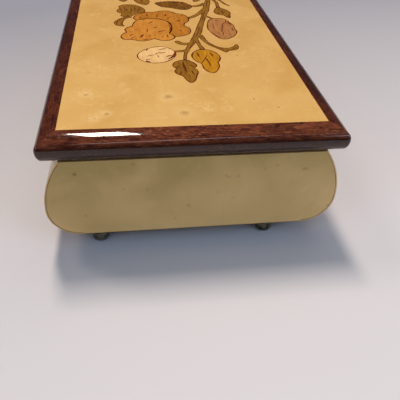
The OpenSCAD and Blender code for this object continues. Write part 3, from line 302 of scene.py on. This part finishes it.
# Bird's eyes and marks in the lid veneer: across, along, size in mm, depth of colour, depth of the pale ring
EYES = [(25.2, 19.6, 0.65, 0.9, 0.0), (33.2, 12.4, 0.55, 0.8, 0.0), (-8.4, 23.3, 2.6, 0.4, 0.3),
        (-3.4, 10.3, 2.8, 0.4, 0.3), (-32.2, 11.2, 1.5, 0.4, 0.3), (-36.4, 8.4, 1.2, 0.3, 0.25),
        (-40.4, 26.6, 1.6, 0.3, 0.25), (26.4, 62.6, 0.8, 0.8, 0.0), (13.4, 12.6, 1.4, 0.25, 0.25),
        (30.6, 6.4, 0.5, 0.5, 0.0)]
# Patches of pale peel flecks in the lid veneer: across, along, size in mm, depth of colour
PATCHES = [(-41.5, 28, 7, 0.9), (-34.8, 95.7, 6, 0.6), (-35.7, 51.5, 7, 0.6), (-36.9, 9, 6, 0.8),
           (-33.5, 12.5, 5, 0.7), (5.2, 14.2, 6, 0.9), (8.3, 47.2, 5, 0.6), (-40.9, 56.5, 6, 0.5),
           (27.3, 51, 4.5, 0.6), (25, 20.5, 4.5, 0.6), (-18, 37, 6, 0.4)]
# Pin knots of the near end: Y, Z and size in mm, depth of colour
KNOTS = [(51.6, 44.1, 1.2, 0.75), (31.8, 34.8, 1.2, 0.25), (21.6, 34.1, 1.2, 0.18), (3.1, 23.7, 1.3, 0.3),
         (9.4, 16.5, 0.9, 0.22), (35.5, 21, 1.0, 0.2), (-13.4, 39.6, 1.2, 0.3), (-14.6, 38.8, 1.0, 0.3),
         (-18.8, 39.1, 1.0, 0.28), (-30.2, 42.5, 1.2, 0.22), (-35.7, 44, 1.0, 0.28),
         (-48.2, 41.6, 1.2, 0.35), (-49.6, 41.5, 1.1, 0.35), (-10.3, 30.4, 1.4, 0.16),
         (-17.5, 27, 1.2, 0.16)]
lid_eyes = [(on_lid(across, along), size * MM, depth, ring) for across, along, size, depth, ring in EYES]
lid_patches = [(on_lid(across, along), size * MM, depth) for across, along, size, depth in PATCHES]
near_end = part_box("end_veneer_left")[0].x
end_knots = [((near_end, y * MM, z * MM), size * MM, depth, 0.0) for y, z, size, depth in KNOTS]

# Woods under lacquer: pale cloudy maple, dark red rosewood, and the dyed and smoked veneers of the inlay
lid_maple = maple("lacquered_figured_maple_lid", pale="#E0B068", deep="#D5A359", light="#EEC686",
                  speck="#7C5426", along=X, lines_share=0.25, flecks=0.4, shade_climb=0.0, eyes=lid_eyes,
                  patches=lid_patches)
side_maple = maple("lacquered_maple_sides", pale="#E2B878", deep="#CFA05F", light="#EBC88E",
                   speck="#6E5028", along=X, lines_share=0.25, flecks=0.15, shade_climb=0.0, eyes=[], patches=[])
# The ends carry painted shade: their tone deepens towards the top, as if under the lid's overhang
end_maple = maple("lacquered_maple_ends", pale="#F0C37E", deep="#B3934F", light="#E2BE84",
                  speck="#723410", along=Z, lines_share=0.06, flecks=0.14, shade_climb=18.0, eyes=end_knots,
                  patches=[])
rosewood_long = rosewood("lacquered_rosewood_long", along=X, dark="#2E0F08", mid="#66301C", rust="#8A4A28",
                         edge="#200B06")
rosewood_end = rosewood("lacquered_rosewood_end", along=Y, dark="#3A150C", mid="#7C3E26", rust="#B06A3C",
                        edge="#200B06")
leaf_wood = inlay_wood("walnut_dyed_leaf_veneer", "#A2701F", "#6E430C", grain_mm=0.7, shade=0.6)
stem_wood = inlay_wood("walnut_stem_veneer", "#A0701F", "#6B450F", grain_mm=0.6, shade=0.5)
dark_leaf_wood = inlay_wood("smoked_walnut_veneer", "#8E5A10", "#542F06", grain_mm=0.7, shade=0.7)
orange_wood = inlay_wood("orange_dyed_maple_veneer", "#C67E28", "#A36014", grain_mm=1.1, shade=0.5)
petal_wood = inlay_wood("pale_orange_dyed_maple_veneer", "#D68E38", "#BA7020", grain_mm=1.4, shade=0.45)
cream_wood = inlay_wood("cream_sycamore_veneer", "#F3C586", "#DCA664", grain_mm=1.2, shade=0.35)
gold_wood = inlay_wood("golden_satinwood_veneer", "#CA8A18", "#A2680C", grain_mm=0.9, shade=0.5)
pink_wood = inlay_wood("pink_pearwood_veneer", "#BE8048", "#98602F", grain_mm=0.8, shade=0.4)
scorched = inlay_wood("scorched_outline", "#7A3204", "#4A1C02", grain_mm=0.8, shade=0.5)

# Inside: bare poplar, claret velvet and a clear sheet; brass dulled outside and bright inside, grey steel
carcass = bare_wood("sealed_poplar", "#D6B483", "#B58A57", X)
velvet = velvet_cloth("claret_cotton_velvet", "#7C1B27", "#5A101C")
clear = acrylic("cast_acrylic")
aged_brass = metal("aged_cast_brass", "#8C826C", "#2C2822", rough=0.38, brush_mm=0.3,
                   along=X, dull_share=1.0, cloud_mm=3.5)
polished_brass = metal("polished_brass", "#D9B465", "#A97F3A", rough=0.2, brush_mm=0.15,
                       along=X, dull_share=0.5, cloud_mm=8)
plated_zinc = metal("nickel_plated_zinc", "#B9B6AF", "#8C8A85", rough=0.34, brush_mm=0.4,
                    along=X, dull_share=0.4, cloud_mm=16)
steel = metal("ground_steel", "#BEBCB8", "#8E8B86", rough=0.28, brush_mm=0.15,
              along=Y, dull_share=0.35, cloud_mm=12)
spring_steel = metal("blued_spring_steel", "#5C6270", "#3E3F48", rough=0.3, brush_mm=0.2,
                     along=Z, dull_share=0.6, cloud_mm=6)

FINISHES = {
    lid_maple: ["figured_veneer"],
    side_maple: ["front_veneer", "back_veneer"],
    end_maple: ["end_veneer_left", "end_veneer_right"],
    rosewood_long: ["border_front", "border_back"],
    rosewood_end: ["border_left", "border_right"],
    carcass: ["bottom_board", "front_side", "back_side", "end_board_left", "end_board_right", "partition",
              "cover_ledge", "lid_core"],
    leaf_wood: ["inlay_leaves"],
    stem_wood: ["inlay_stems"],
    dark_leaf_wood: ["inlay_dark_leaf"],
    orange_wood: ["inlay_flower_back"],
    petal_wood: ["inlay_flower_front"],
    cream_wood: ["inlay_cream_bud"],
    gold_wood: ["inlay_gold_leaf"],
    pink_wood: ["inlay_pink_bud"],
    clear: ["clear_cover"],
    aged_brass: ["foot_front_left", "foot_front_right", "foot_back_left", "foot_back_right", "winding_key"],
    polished_brass: ["case_leaf_left", "case_leaf_right", "lid_leaf_left", "lid_leaf_right", "hinge_pins",
                     "case_leaf_screws", "lid_leaf_screws", "cover_screws", "pinned_cylinder",
                     "spring_barrel", "governor_wheel", "cylinder_bracket", "governor_frame"],
    plated_zinc: ["bedplate", "comb_block"],
    steel: ["comb", "comb_screws", "movement_screws", "cylinder_arbor", "winding_arbor", "fly",
            "stop_lever"],
    spring_steel: ["mainspring"],
    velvet: ["floor_lining", "front_lining", "back_lining", "end_lining", "partition_lining", "lid_lining"],
}
for finish, names in FINISHES.items():
    for name in names:
        nodes[name].data.materials.clear()
        nodes[name].data.materials.append(finish)


# New pieces

def make(name, points, faces, finish, body, smooth):
    """A mesh piece from its points and its faces, with a finish, fixed to a body and shaded smooth if asked.
    """
    mesh = bpy.data.meshes.new(name)
    mesh.from_pydata(points.reshape(-1, 3).tolist(), [], faces)
    if smooth:
        mesh.shade_smooth()
    mesh.materials.append(finish)
    piece = bpy.data.objects.new(name, mesh)
    bpy.context.scene.collection.objects.link(piece)
    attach(piece, body)
    return piece


def node_points(mesh):
    """The points of a node's mesh, one row each."""
    points = np.empty(len(mesh.vertices) * 3)
    mesh.vertices.foreach_get("co", points)
    return points.reshape(-1, 3)


def run_faces(runs, steps, corners):
    """Faces of open runs: each carries a closed section through its steps, and has a cap at either end."""
    corner = np.arange(corners)
    beside = (corner + 1) % corners
    first = np.arange(runs)[:, None] * steps * corners
    here = (first + np.arange(steps - 1) * corners).reshape(-1, 1)
    ahead = here + corners
    quads = np.stack([here + corner, ahead + corner, ahead + beside, here + beside], axis=2).reshape(-1, 4)
    last = first + (steps - 1) * corners
    return quads.tolist() + (first + corner).tolist() + (last + corner[::-1]).tolist()


# Faces that lines are drawn on: the axes along and across, the axis they face, its level and its direction
LID_FACE = (X, Y, Z, LID_TOP, 1)
END_FACES = {"end_veneer_left": (Z, Y, X, near_end, -1),
             "end_veneer_right": (Y, Z, X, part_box("end_veneer_right")[1].x, 1)}
SAME_LEVEL = 1e-6
SAME_POINT_DIGITS = 7
NO_LENGTH = 1e-9

# A line's section: four corners, the lower two a little wider than the upper two and just under the face
LINE_SPREAD = np.array([-1.15, -1, 1, 1.15])
LINE_CORNERS = len(LINE_SPREAD)
LINE_SINK = -0.06


def face_outline(name, face):
    """The outline of a node's flat face. The edges that only one of its triangles has are its rim, each
    running with the piece on its left; returns the points, those before and after each, and the edges."""
    along, across, facing, height, _ = face
    mesh = nodes[name].data
    mesh.calc_loop_triangles()
    place = node_points(mesh)
    corner = np.empty(len(mesh.loop_triangles) * 3, int)
    mesh.loop_triangles.foreach_get("vertices", corner)
    corner = corner.reshape(-1, 3)
    corner = corner[(abs(place[corner, facing] - height) < SAME_LEVEL).all(axis=1)]
    flat = np.round(place[:, [along, across]], SAME_POINT_DIGITS)
    points, index = np.unique(flat, axis=0, return_inverse=True)
    corner = index.ravel()[corner]
    edge = np.concatenate([corner[:, [0, 1]], corner[:, [1, 2]], corner[:, [2, 0]]])
    key = edge.min(axis=1) * len(points) + edge.max(axis=1)
    _, first, count = np.unique(key, return_index=True, return_counts=True)
    rim = edge[first[count == 1]]
    after = np.arange(len(points))
    before = np.arange(len(points))
    after[rim[:, 0]] = rim[:, 1]
    before[rim[:, 1]] = rim[:, 0]
    return points, points[before], points[after], rim


def line_section(points, side, half, rise, face):
    """Carries a flat line's section along a path on a face: the upper corners lie half a width either side of
    the path and are proud of the face by the rise, in mm."""
    along, across, facing, height, out = face
    lift = np.array([LINE_SINK, rise, rise, LINE_SINK]) * MM
    flat = points[:, None, :] + side[:, None, :] * LINE_SPREAD[None, :, None] * half[:, None, None]
    section = np.empty((len(points), LINE_CORNERS, 3))
    section[..., along] = flat[..., 0]
    section[..., across] = flat[..., 1]
    section[..., facing] = height + out * lift
    return section


def dark_outline(name, node, width_mm, face, body):
    """The dark line round a veneered piece: a flat section carried round its outline, its width swelling and
    thinning with two slow sine waves across the face."""
    rise = 0.008
    swell_share = 0.35
    wave_along = 1.9 * MM
    wave_across = 1.5 * MM
    wave_start = 1.3
    points, before, after, rim = face_outline(node, face)
    run = after - before
    run /= np.maximum(np.linalg.norm(run, axis=1, keepdims=True), NO_LENGTH)
    side = np.stack([-run[:, 1], run[:, 0]], axis=1)
    wave = np.sin(points[:, 0] / wave_along + wave_start) * np.sin(points[:, 1] / wave_across)
    half = width_mm * MM / 2 * (1 + swell_share * wave)
    section = line_section(points, side, half, rise, face)
    corner = np.arange(LINE_CORNERS)
    beside = (corner + 1) % LINE_CORNERS
    start = rim[:, :1] * LINE_CORNERS
    end = rim[:, 1:] * LINE_CORNERS
    quads = np.stack([start + corner, end + corner, end + beside, start + beside], axis=2).reshape(-1, 4)
    used, quads = np.unique(quads, return_inverse=True)
    section = section.reshape(-1, 3)[used]
    return make(name, section, quads.reshape(-1, 4).tolist(), scorched, body, False)


def strokes(name, table):
    """Short brush-like strokes: each row holds a start, a middle, an end and a width, the curve is the
    parabola through the three points, and the width grows from a narrow tip and back as a sine's root."""
    steps = 11
    tip_share = 0.12
    rise = 0.014
    t = np.linspace(0, 1, steps)[None, :, None]
    rows = np.array(table)
    start, middle, end = rows[:, None, 0:2], rows[:, None, 2:4], rows[:, None, 4:6]
    path = start * (1 - t) * (1 - 2 * t) + middle * 4 * t * (1 - t) + end * t * (2 * t - 1)
    path = np.stack(on_lid(path[..., 0], path[..., 1])[:2], axis=2)
    run = np.gradient(path, axis=1)
    run /= np.linalg.norm(run, axis=2, keepdims=True)
    side = np.stack([-run[..., 1], run[..., 0]], axis=2)
    taper = tip_share + (1 - tip_share) * np.sqrt(np.sin(np.pi * t[:, :, 0]).clip(0))
    half = rows[:, 6:7] * MM / 2 * taper
    section = line_section(path.reshape(-1, 2), side.reshape(-1, 2), half.ravel(), rise, LID_FACE)
    faces = run_faces(len(rows), steps, LINE_CORNERS)
    return make(name, section, faces, scorched, "lid", False)


# Widths in mm of the dark lines round the inlay and of the glue lines at the ends
INLAY_LINES = {"inlay_stems": 0.54, "inlay_leaves": 0.64, "inlay_dark_leaf": 0.64, "inlay_flower_back": 0.72,
               "inlay_flower_front": 0.78, "inlay_cream_bud": 0.56, "inlay_gold_leaf": 0.7,
               "inlay_pink_bud": 0.7}
GLUE_LINE = 0.22
for inlay, width in INLAY_LINES.items():
    dark_outline("line_" + inlay, inlay, width, LID_FACE, "lid")
for veneer, face in END_FACES.items():
    dark_outline("glue_line_" + veneer, veneer, GLUE_LINE, face, "case")

# Veins and shading strokes: start, middle, end as across and along, then the width in mm
FLOWER_STROKES = [
    (-12.6, 104.6, -11.6, 106.2, -10.2, 107.8, 0.9), (-10.4, 98.2, -9.4, 98.8, -8.4, 98.8, 0.9),
    (-13.7, 92.6, -13.7, 95, -13.4, 97.6, 0.55), (-8.6, 92.6, -6.8, 93.9, -4.6, 94.6, 0.95),
    (-20.4, 95.8, -19.3, 96.1, -18.4, 96.1, 0.6), (-17.4, 85.8, -16.7, 87.5, -15.9, 89.7, 1.4),
    (-22.7, 88.4, -21.6, 89.2, -20.4, 89.9, 0.8), (-22.1, 83.3, -21.3, 85.1, -20, 86.6, 0.6),
    (-12.7, 89.6, -12.6, 88, -13.3, 85.6, 0.4), (-3.5, 85.2, -4.1, 87, -3.8, 89.3, 0.6),
    (-16.4, 82.3, -15, 83.1, -13.4, 83.1, 0.7), (-6.8, 84.4, -6.4, 86.6, -5.2, 88, 0.35),
    (-12.5, 120, -12.9, 118, -12.4, 115.8, 0.8), (-6.9, 120, -7.4, 117, -7.7, 113.2, 0.65),
    (-1.8, 118.9, -2.8, 117.6, -3.3, 115.9, 1.1), (0.4, 115.4, -1.3, 113.6, -2.6, 110.8, 0.5),
    (-16.3, 115.7, -16.6, 114, -16.2, 112.3, 0.75), (2.3, 108.1, 3.4, 108.7, 4.3, 109.9, 1.3),
    (3.7, 93.5, 3.2, 94.7, 2.4, 95.7, 0.8), (-15.8, 112.6, -15.4, 111.6, -14.8, 110.6, 0.6),
    (-23.3, 92.8, -22, 93.2, -20.4, 92.9, 0.5), (-2.6, 104.6, -1.6, 99, -2.9, 93.4, 0.6),
    (5.4, 117.9, 5.9, 116.9, 6.2, 115.6, 0.5), (-9.8, 121.6, -9.6, 120.4, -9.8, 119, 0.35)]
LEAF_STROKES = [
    (-23.9, 128.2, -23.6, 126.8, -23.3, 125.4, 1.1), (-27.3, 131, -26.7, 127, -26.4, 123, 0.5),
    (-25.2, 132, -24.8, 128, -24.4, 121, 0.45), (-21.5, 131.4, -21.2, 126, -22, 120.4, 0.5),
    (-19.3, 131.4, -19.1, 128.6, -19.4, 126, 0.8), (-17, 128.4, -17.1, 125, -18, 121.6, 0.45),
    (-23.5, 117.6, -22.9, 116.6, -22.3, 115.9, 1.0), (-28.7, 103.4, -29, 106, -27.8, 109.4, 0.7),
    (0.4, 132.9, 2.4, 133.5, 4.4, 133.8, 1.3), (3.7, 140.2, 3.4, 138.4, 3.2, 136.2, 0.8),
    (8.1, 139.4, 8.3, 138, 8.5, 136.4, 1.4), (5.5, 129.7, 5.8, 128.6, 6.3, 127.6, 0.6),
    (-5.5, 136.6, -4.3, 135, -2.8, 133.2, 0.7), (10.4, 134.6, 10.9, 132.6, 10.8, 130.4, 0.6),
    (29.1, 124, 29.4, 122, 29.9, 119.6, 1.3), (28.4, 129, 28.6, 126, 29, 123, 0.5),
    (27.7, 121.6, 26.9, 120.4, 26.1, 119.3, 0.7), (31.5, 117.2, 31.9, 115.2, 31.9, 113.3, 0.9),
    (0.6, 56.4, 0.6, 51, 1.2, 45, 1.15), (-4.1, 50.2, -2.7, 50.6, -1.4, 51.4, 0.8),
    (5.5, 50.2, 4.2, 51.4, 3.2, 53, 0.95), (-2.3, 42.2, -1.7, 44, -0.8, 46.6, 0.85),
    (4.5, 42.4, 3.7, 44.6, 3.6, 47, 0.85), (2.2, 39.6, 2, 42, 2, 44.2, 0.3),
    (-2.4, 54, -1.5, 54.6, -0.5, 55.6, 0.35), (-14.8, 146.4, -15, 142.4, -14.2, 138.2, 0.6),
    (-25.6, 149.4, -25.5, 146, -25.4, 142.4, 0.5), (22.6, 150.2, 20.2, 147, 17.2, 143, 0.5),
    (9.2, 84, 11.4, 90.4, 13.7, 100, 0.5), (16.3, 110, 18.2, 117.6, 20.2, 126, 0.5),
    (21.2, 130, 22.6, 136.6, 24, 143, 0.5), (15.8, 76.6, 18.4, 72.6, 21.6, 68.6, 0.5),
    (22.6, 67.8, 25.4, 69.6, 27.8, 71.6, 0.5), (5, 70.4, 7, 76.4, 8.8, 81.6, 0.4)]
BUD_STROKES = [
    (8.1, 66.2, 8.3, 63.6, 8.7, 61, 0.9), (13.9, 66.2, 14.6, 64, 15.1, 61.6, 0.9),
    (12.3, 63, 10.9, 59, 8.5, 53.5, 0.55), (11.2, 60.6, 12.1, 56, 12.4, 50.8, 0.85),
    (-15.5, 62.9, -13.6, 63.5, -11.4, 64.6, 0.6), (-11.4, 64.6, -10.2, 66.2, -8.6, 66.8, 0.55),
    (-9.4, 66.1, -7.8, 66.5, -6.2, 66.6, 0.8), (-6.5, 62, -5.2, 62.9, -3.4, 63.7, 1.0),
    (-9.3, 70.1, -7.6, 71, -5.6, 71, 0.9), (-15.5, 58.4, -15.1, 57.2, -13.6, 56.4, 1.2),
    (-2.1, 68.4, -2.9, 63.4, -6, 58.9, 1.3), (-13.6, 72.2, -14.8, 70.8, -15.1, 68.8, 0.6),
    (-16.2, 59, -14.7, 59.3, -13.3, 60.1, 0.5), (-10.6, 64.2, -10.1, 62.8, -10, 61.2, 0.35),
    (28.6, 108.7, 28.7, 107, 28.4, 105.3, 0.8), (28.5, 105.6, 27.2, 104.4, 25.9, 102.8, 0.7),
    (26, 103.2, 26.1, 101.6, 25.9, 99.8, 0.8), (26, 100.2, 25.6, 98.8, 24.9, 97.4, 0.8),
    (24.9, 97.8, 25.3, 96.6, 25.5, 95.4, 0.8), (25.5, 95.8, 24.8, 95, 23.9, 93.9, 0.7),
    (24, 94.2, 24.6, 92.6, 25, 90.9, 0.6), (25, 91.2, 24.5, 89.6, 24, 87.6, 0.5),
    (31, 97.6, 30.2, 95.7, 30.7, 93.6, 0.7), (29.6, 106.6, 30, 104, 31, 101.4, 0.7),
    (23.2, 108.5, 24, 108.8, 24.8, 108.7, 0.7), (21.7, 106, 20.9, 100, 20.7, 94, 0.3),
    (28.1, 97.6, 27.9, 93, 27.4, 86.6, 0.3), (22.2, 92, 22.4, 89, 23.2, 85.6, 0.3),
    (20.3, 88.4, 21.2, 86.2, 22.6, 84.4, 0.5)]
strokes("petal_strokes", FLOWER_STROKES)
strokes("leaf_veins", LEAF_STROKES)
strokes("bud_strokes", BUD_STROKES)

# Velvet boards: the radius of their corners, and the points and rings of their meshes
BOARD_CORNER = 1.2 * MM
CORNER_POINTS = 9
RIM_POINTS = 220
EDGE_RINGS = 7
FACE_RINGS = 15
OUTER_RING = 0.985
INNER_RING = 0.02


def rounded_outline(half_u, half_v, radius):
    """Points evenly spaced round a rectangle with round corners, and the outward direction at each: four
    quarter circles joined by straight runs, measured off by length."""
    angle = np.radians(np.arange(4)[:, None] * 90 + np.linspace(0, 90, CORNER_POINTS)[None, :])
    normal = np.stack([np.cos(angle), np.sin(angle)], axis=2)
    sign = np.array([[1, 1], [-1, 1], [-1, -1], [1, -1]])
    centre = sign * np.array([half_u - radius, half_v - radius])
    loop = (centre[:, None, :] + radius * normal).reshape(-1, 2)
    normal = normal.reshape(-1, 2)
    loop = np.concatenate([loop, loop[:1]])
    normal = np.concatenate([normal, normal[:1]])
    length = np.concatenate([[0], np.cumsum(np.linalg.norm(np.diff(loop, axis=0), axis=1))])
    at = np.linspace(0, length[-1], RIM_POINTS, endpoint=False)
    place = np.stack([np.interp(at, length, loop[:, i]) for i in (0, 1)], axis=1)
    out = np.stack([np.interp(at, length, normal[:, i]) for i in (0, 1)], axis=1)
    return place, out / np.linalg.norm(out, axis=1, keepdims=True)


def velvet_board(name, facing, direction, edge_mm, crown_mm, body):
    """A velvet-covered board in the box of its lining: rings run from the middle of the back over a rounded
    edge to the middle of the face, which is crowned as the square of the distance from the middle."""
    low, high = (np.array(corner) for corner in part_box(name))
    u, v = [axis for axis in (X, Y, Z) if axis != facing]
    half = (high - low) / 2
    middle = (high + low) / 2
    deep = high[facing] - low[facing]
    edge = edge_mm * MM
    crown = crown_mm * MM
    loop, out = rounded_outline(half[u], half[v], BOARD_CORNER)
    turn = np.radians(np.linspace(0, 90, EDGE_RINGS))
    inward = np.linspace(OUTER_RING, INNER_RING, FACE_RINGS)
    inset = np.concatenate([[0, 0], edge * (1 - np.cos(turn)), np.full(FACE_RINGS, edge)])
    share = np.concatenate([[INNER_RING, 1], np.ones(EDGE_RINGS), inward])
    depth = np.concatenate([[deep, deep], crown + edge * (1 - np.sin(turn)), crown * inward ** 2])
    flat = (loop[None] - inset[:, None, None] * out[None]) * share[:, None, None]
    points = np.empty((len(share), RIM_POINTS, 3))
    points[..., u] = middle[u] + flat[..., 0]
    points[..., v] = middle[v] + flat[..., 1]
    face = high[facing] if direction > 0 else low[facing]
    points[..., facing] = face - direction * depth[:, None]
    faces = run_faces(1, len(share), RIM_POINTS)
    inside_out = (facing != Y) == (direction > 0)
    if inside_out:
        faces = [corners[::-1] for corners in faces]
    board = make("velvet_" + name, points, faces, velvet, body, True)
    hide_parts(name)
    return board


velvet_board("floor_lining", facing=Z, direction=1, edge_mm=0.5, crown_mm=0.3, body="case")
velvet_board("front_lining", facing=Y, direction=1, edge_mm=0.6, crown_mm=0.2, body="case")
velvet_board("back_lining", facing=Y, direction=-1, edge_mm=0.6, crown_mm=0.2, body="case")
velvet_board("end_lining", facing=X, direction=1, edge_mm=0.6, crown_mm=0.2, body="case")
velvet_board("partition_lining", facing=X, direction=-1, edge_mm=0.6, crown_mm=0.2, body="case")
lid_pad = velvet_board("lid_lining", facing=Z, direction=-1, edge_mm=1.0, crown_mm=0.7, body="lid")


def worm_thread():
    """The governor's worm: right-hand threads, each a small ridge carried up a helix whose rise in one turn
    is as many tooth pitches of its wheel as there are threads."""
    threads = 4
    steps = 90
    wheel_module = 0.5 * MM
    wheel_radius = 6.5 * MM
    half_length = 4.3 * MM
    radius = np.array([1.02, 1.3, 1.3, 1.02]) * MM
    width = np.array([-0.42, -0.18, 0.18, 0.42]) * MM
    low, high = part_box("fly")
    axis_x = (low.x + high.x) / 2
    axis_y = (low.y + high.y) / 2
    mid_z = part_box("governor_wheel")[0].z + wheel_radius
    lead = threads * np.pi * wheel_module
    rise = np.linspace(-half_length, half_length, steps)
    start = np.arange(threads) * 2 * np.pi / threads
    angle = (2 * np.pi * rise / lead)[None, :, None] + start[:, None, None]
    height = np.broadcast_to(mid_z + rise[None, :, None] + width, (threads, steps, len(width)))
    points = np.stack([axis_x + radius * np.cos(angle), axis_y + radius * np.sin(angle), height], axis=3)
    faces = run_faces(threads, steps, len(width))
    return make("worm_thread", points, faces, steel, "air_brake", True)


worm_thread()

# Air between the clear sheet and the wood under it
SEAT_GAP = 0.03 * MM


def clear_sheet():
    """The clear cover as it lies on its seat: the source's own sheet, its underside raised by a hair's
    breadth so that the eye sees through to the wood. It casts no shadow, so the movement is in full light."""
    mesh = nodes["clear_cover"].data
    points = node_points(mesh)
    under = points[:, Z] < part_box("clear_cover")[0].z + SEAT_GAP / 2
    points[under, Z] += SEAT_GAP
    faces = [list(face.vertices) for face in mesh.polygons]
    sheet = make("seated_clear_sheet", points, faces, clear, "case", False)
    sheet.visible_shadow = False
    sheet.visible_diffuse = False
    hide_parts("clear_cover")


clear_sheet()

# Stage: a pale table top under three overhead lamps, a narrow lamp behind the viewer, cool light from a
# window and a wall on either side, and a dim cool room
scene = bpy.context.scene
scene.view_settings.view_transform = "Standard"
TABLE_HALF = 4
TABLE_FAR = (0.9, 0.35, 0.0)
table_mat, table_shader, table_place = material("pale_table_laminate", {"Roughness": 0.7,
                                                                        "Specular IOR Level": 0.3})
# Painted shade: the table greys towards its far side, standing in for light that falls off away from the
# lamps
far = add(table_mat, "VectorMath", {0: table_place, 1: TABLE_FAR}, operation="DOT_PRODUCT")
falloff_shade = add(table_mat, "MapRange", {"Value": far.outputs["Value"], "From Min": -0.2, "From Max": 0.25})
table_tone = add(table_mat, "Mix", {0: falloff_shade.outputs["Result"], 6: linear("#DED7D6"),
                                    7: linear("#94949F")}, data_type="RGBA")
wire(table_mat, table_shader, {"Base Color": table_tone.outputs[2]})
table_mesh = bpy.data.meshes.new("table")
table_corners = [(x * TABLE_HALF, y * TABLE_HALF, 0) for x, y in ((-1, -1), (1, -1), (1, 1), (-1, 1))]
table_mesh.from_pydata(table_corners, [], [(0, 1, 2, 3)])
table_mesh.materials.append(table_mat)
table = bpy.data.objects.new("table", table_mesh)
scene.collection.objects.link(table)

ROOM_LOW = (0.03, 0.036, 0.046, 1.0)
ROOM_HIGH = (0.07, 0.095, 0.125, 1.0)
world = bpy.data.worlds.new("studio")
scene.world = world
world.use_nodes = True
sky = add(world, "TexCoord", {})
sky_level = add(world, "SeparateXYZ", {"Vector": sky.outputs["Generated"]})
sky_share = add(world, "MapRange", {"Value": sky_level.outputs["Z"], "From Min": 0.3, "From Max": 0.9},
                interpolation_type="SMOOTHSTEP")
room = add(world, "Mix", {0: sky_share.outputs["Result"], 6: ROOM_LOW, 7: ROOM_HIGH}, data_type="RGBA")
wire(world, world.node_tree.nodes["Background"], {"Color": room.outputs[2]})


def stand(thing, right, up, back, place):
    """Stands a lamp or the camera at a place, turned by its axes, and links it to the scene."""
    turn = np.eye(4)
    turn[:3] = np.stack([right, up, back, place], axis=1)
    thing.matrix_world = Matrix(turn.tolist())
    scene.collection.objects.link(thing)


def soft_box(name, place, target, size, power, colour, mirrored):
    """A rectangular soft light at a place, facing a target. Mirrored says if gloss shows it."""
    lamp = bpy.data.lights.new(name, "AREA")
    lamp.shape = "RECTANGLE"
    lamp.size, lamp.size_y = size
    lamp.energy = power
    lamp.color = colour
    box = bpy.data.objects.new(name, lamp)
    box.visible_glossy = mirrored
    back = np.subtract(place, target)
    back /= np.linalg.norm(back)
    right = np.cross((0, 0, 1), back)
    right /= np.linalg.norm(right)
    stand(box, right, np.cross(back, right), back, place)


# Lamps: name, place, target, size, power in watts, colour, whether gloss shows it
LAMPS = [
    ("overhead", (0.43, 0.13, 1.35), (-0.2, 0.0, 0.0), (0.17, 0.42), 14.0, (1.0, 0.9, 0.79), True),
    ("overhead_left", (0.5, 0.85, 1.35), (-0.15, 0.05, 0.0), (0.3, 0.5), 4.0, (1.0, 0.92, 0.83), True),
    ("overhead_right", (0.3, -0.3, 1.35), (-0.15, -0.1, 0.0), (0.8, 1.2), 3.2, (1.0, 0.92, 0.83), False),
    ("behind_viewer", (-0.54, -0.3, 1.35), (0.0, 0.0, 0.03), (1.2, 0.1), 1.2, (0.9, 0.92, 1.0), True),
    ("window", (-0.9, -0.9, 0.8), (-0.1, 0.0, 0.03), (0.6, 0.6), 5.4, (0.48, 0.7, 1.0), True),
    ("wall", (-0.75, 0.9, 0.7), (-0.1, 0.0, 0.03), (0.6, 0.6), 3.2, (0.55, 0.73, 0.97), True),
]
for lamp_row in LAMPS:
    soft_box(*lamp_row)

# Camera fitted to the photo: its lens, its axes and its place
lens = bpy.data.cameras.new("camera")
lens.lens = 42.995
lens.sensor_width = 36
lens.clip_start = 0.01
camera = bpy.data.objects.new("camera", lens)
CAMERA_RIGHT = (-0.12785, -0.99107, 0.03807)
CAMERA_UP = (0.63464, -0.05224, 0.77104)
CAMERA_BACK = (-0.76217, 0.12274, 0.63565)
CAMERA_PLACE = (-0.27866, 0.02470, 0.16457)
stand(camera, CAMERA_RIGHT, CAMERA_UP, CAMERA_BACK, CAMERA_PLACE)
scene.camera = camera
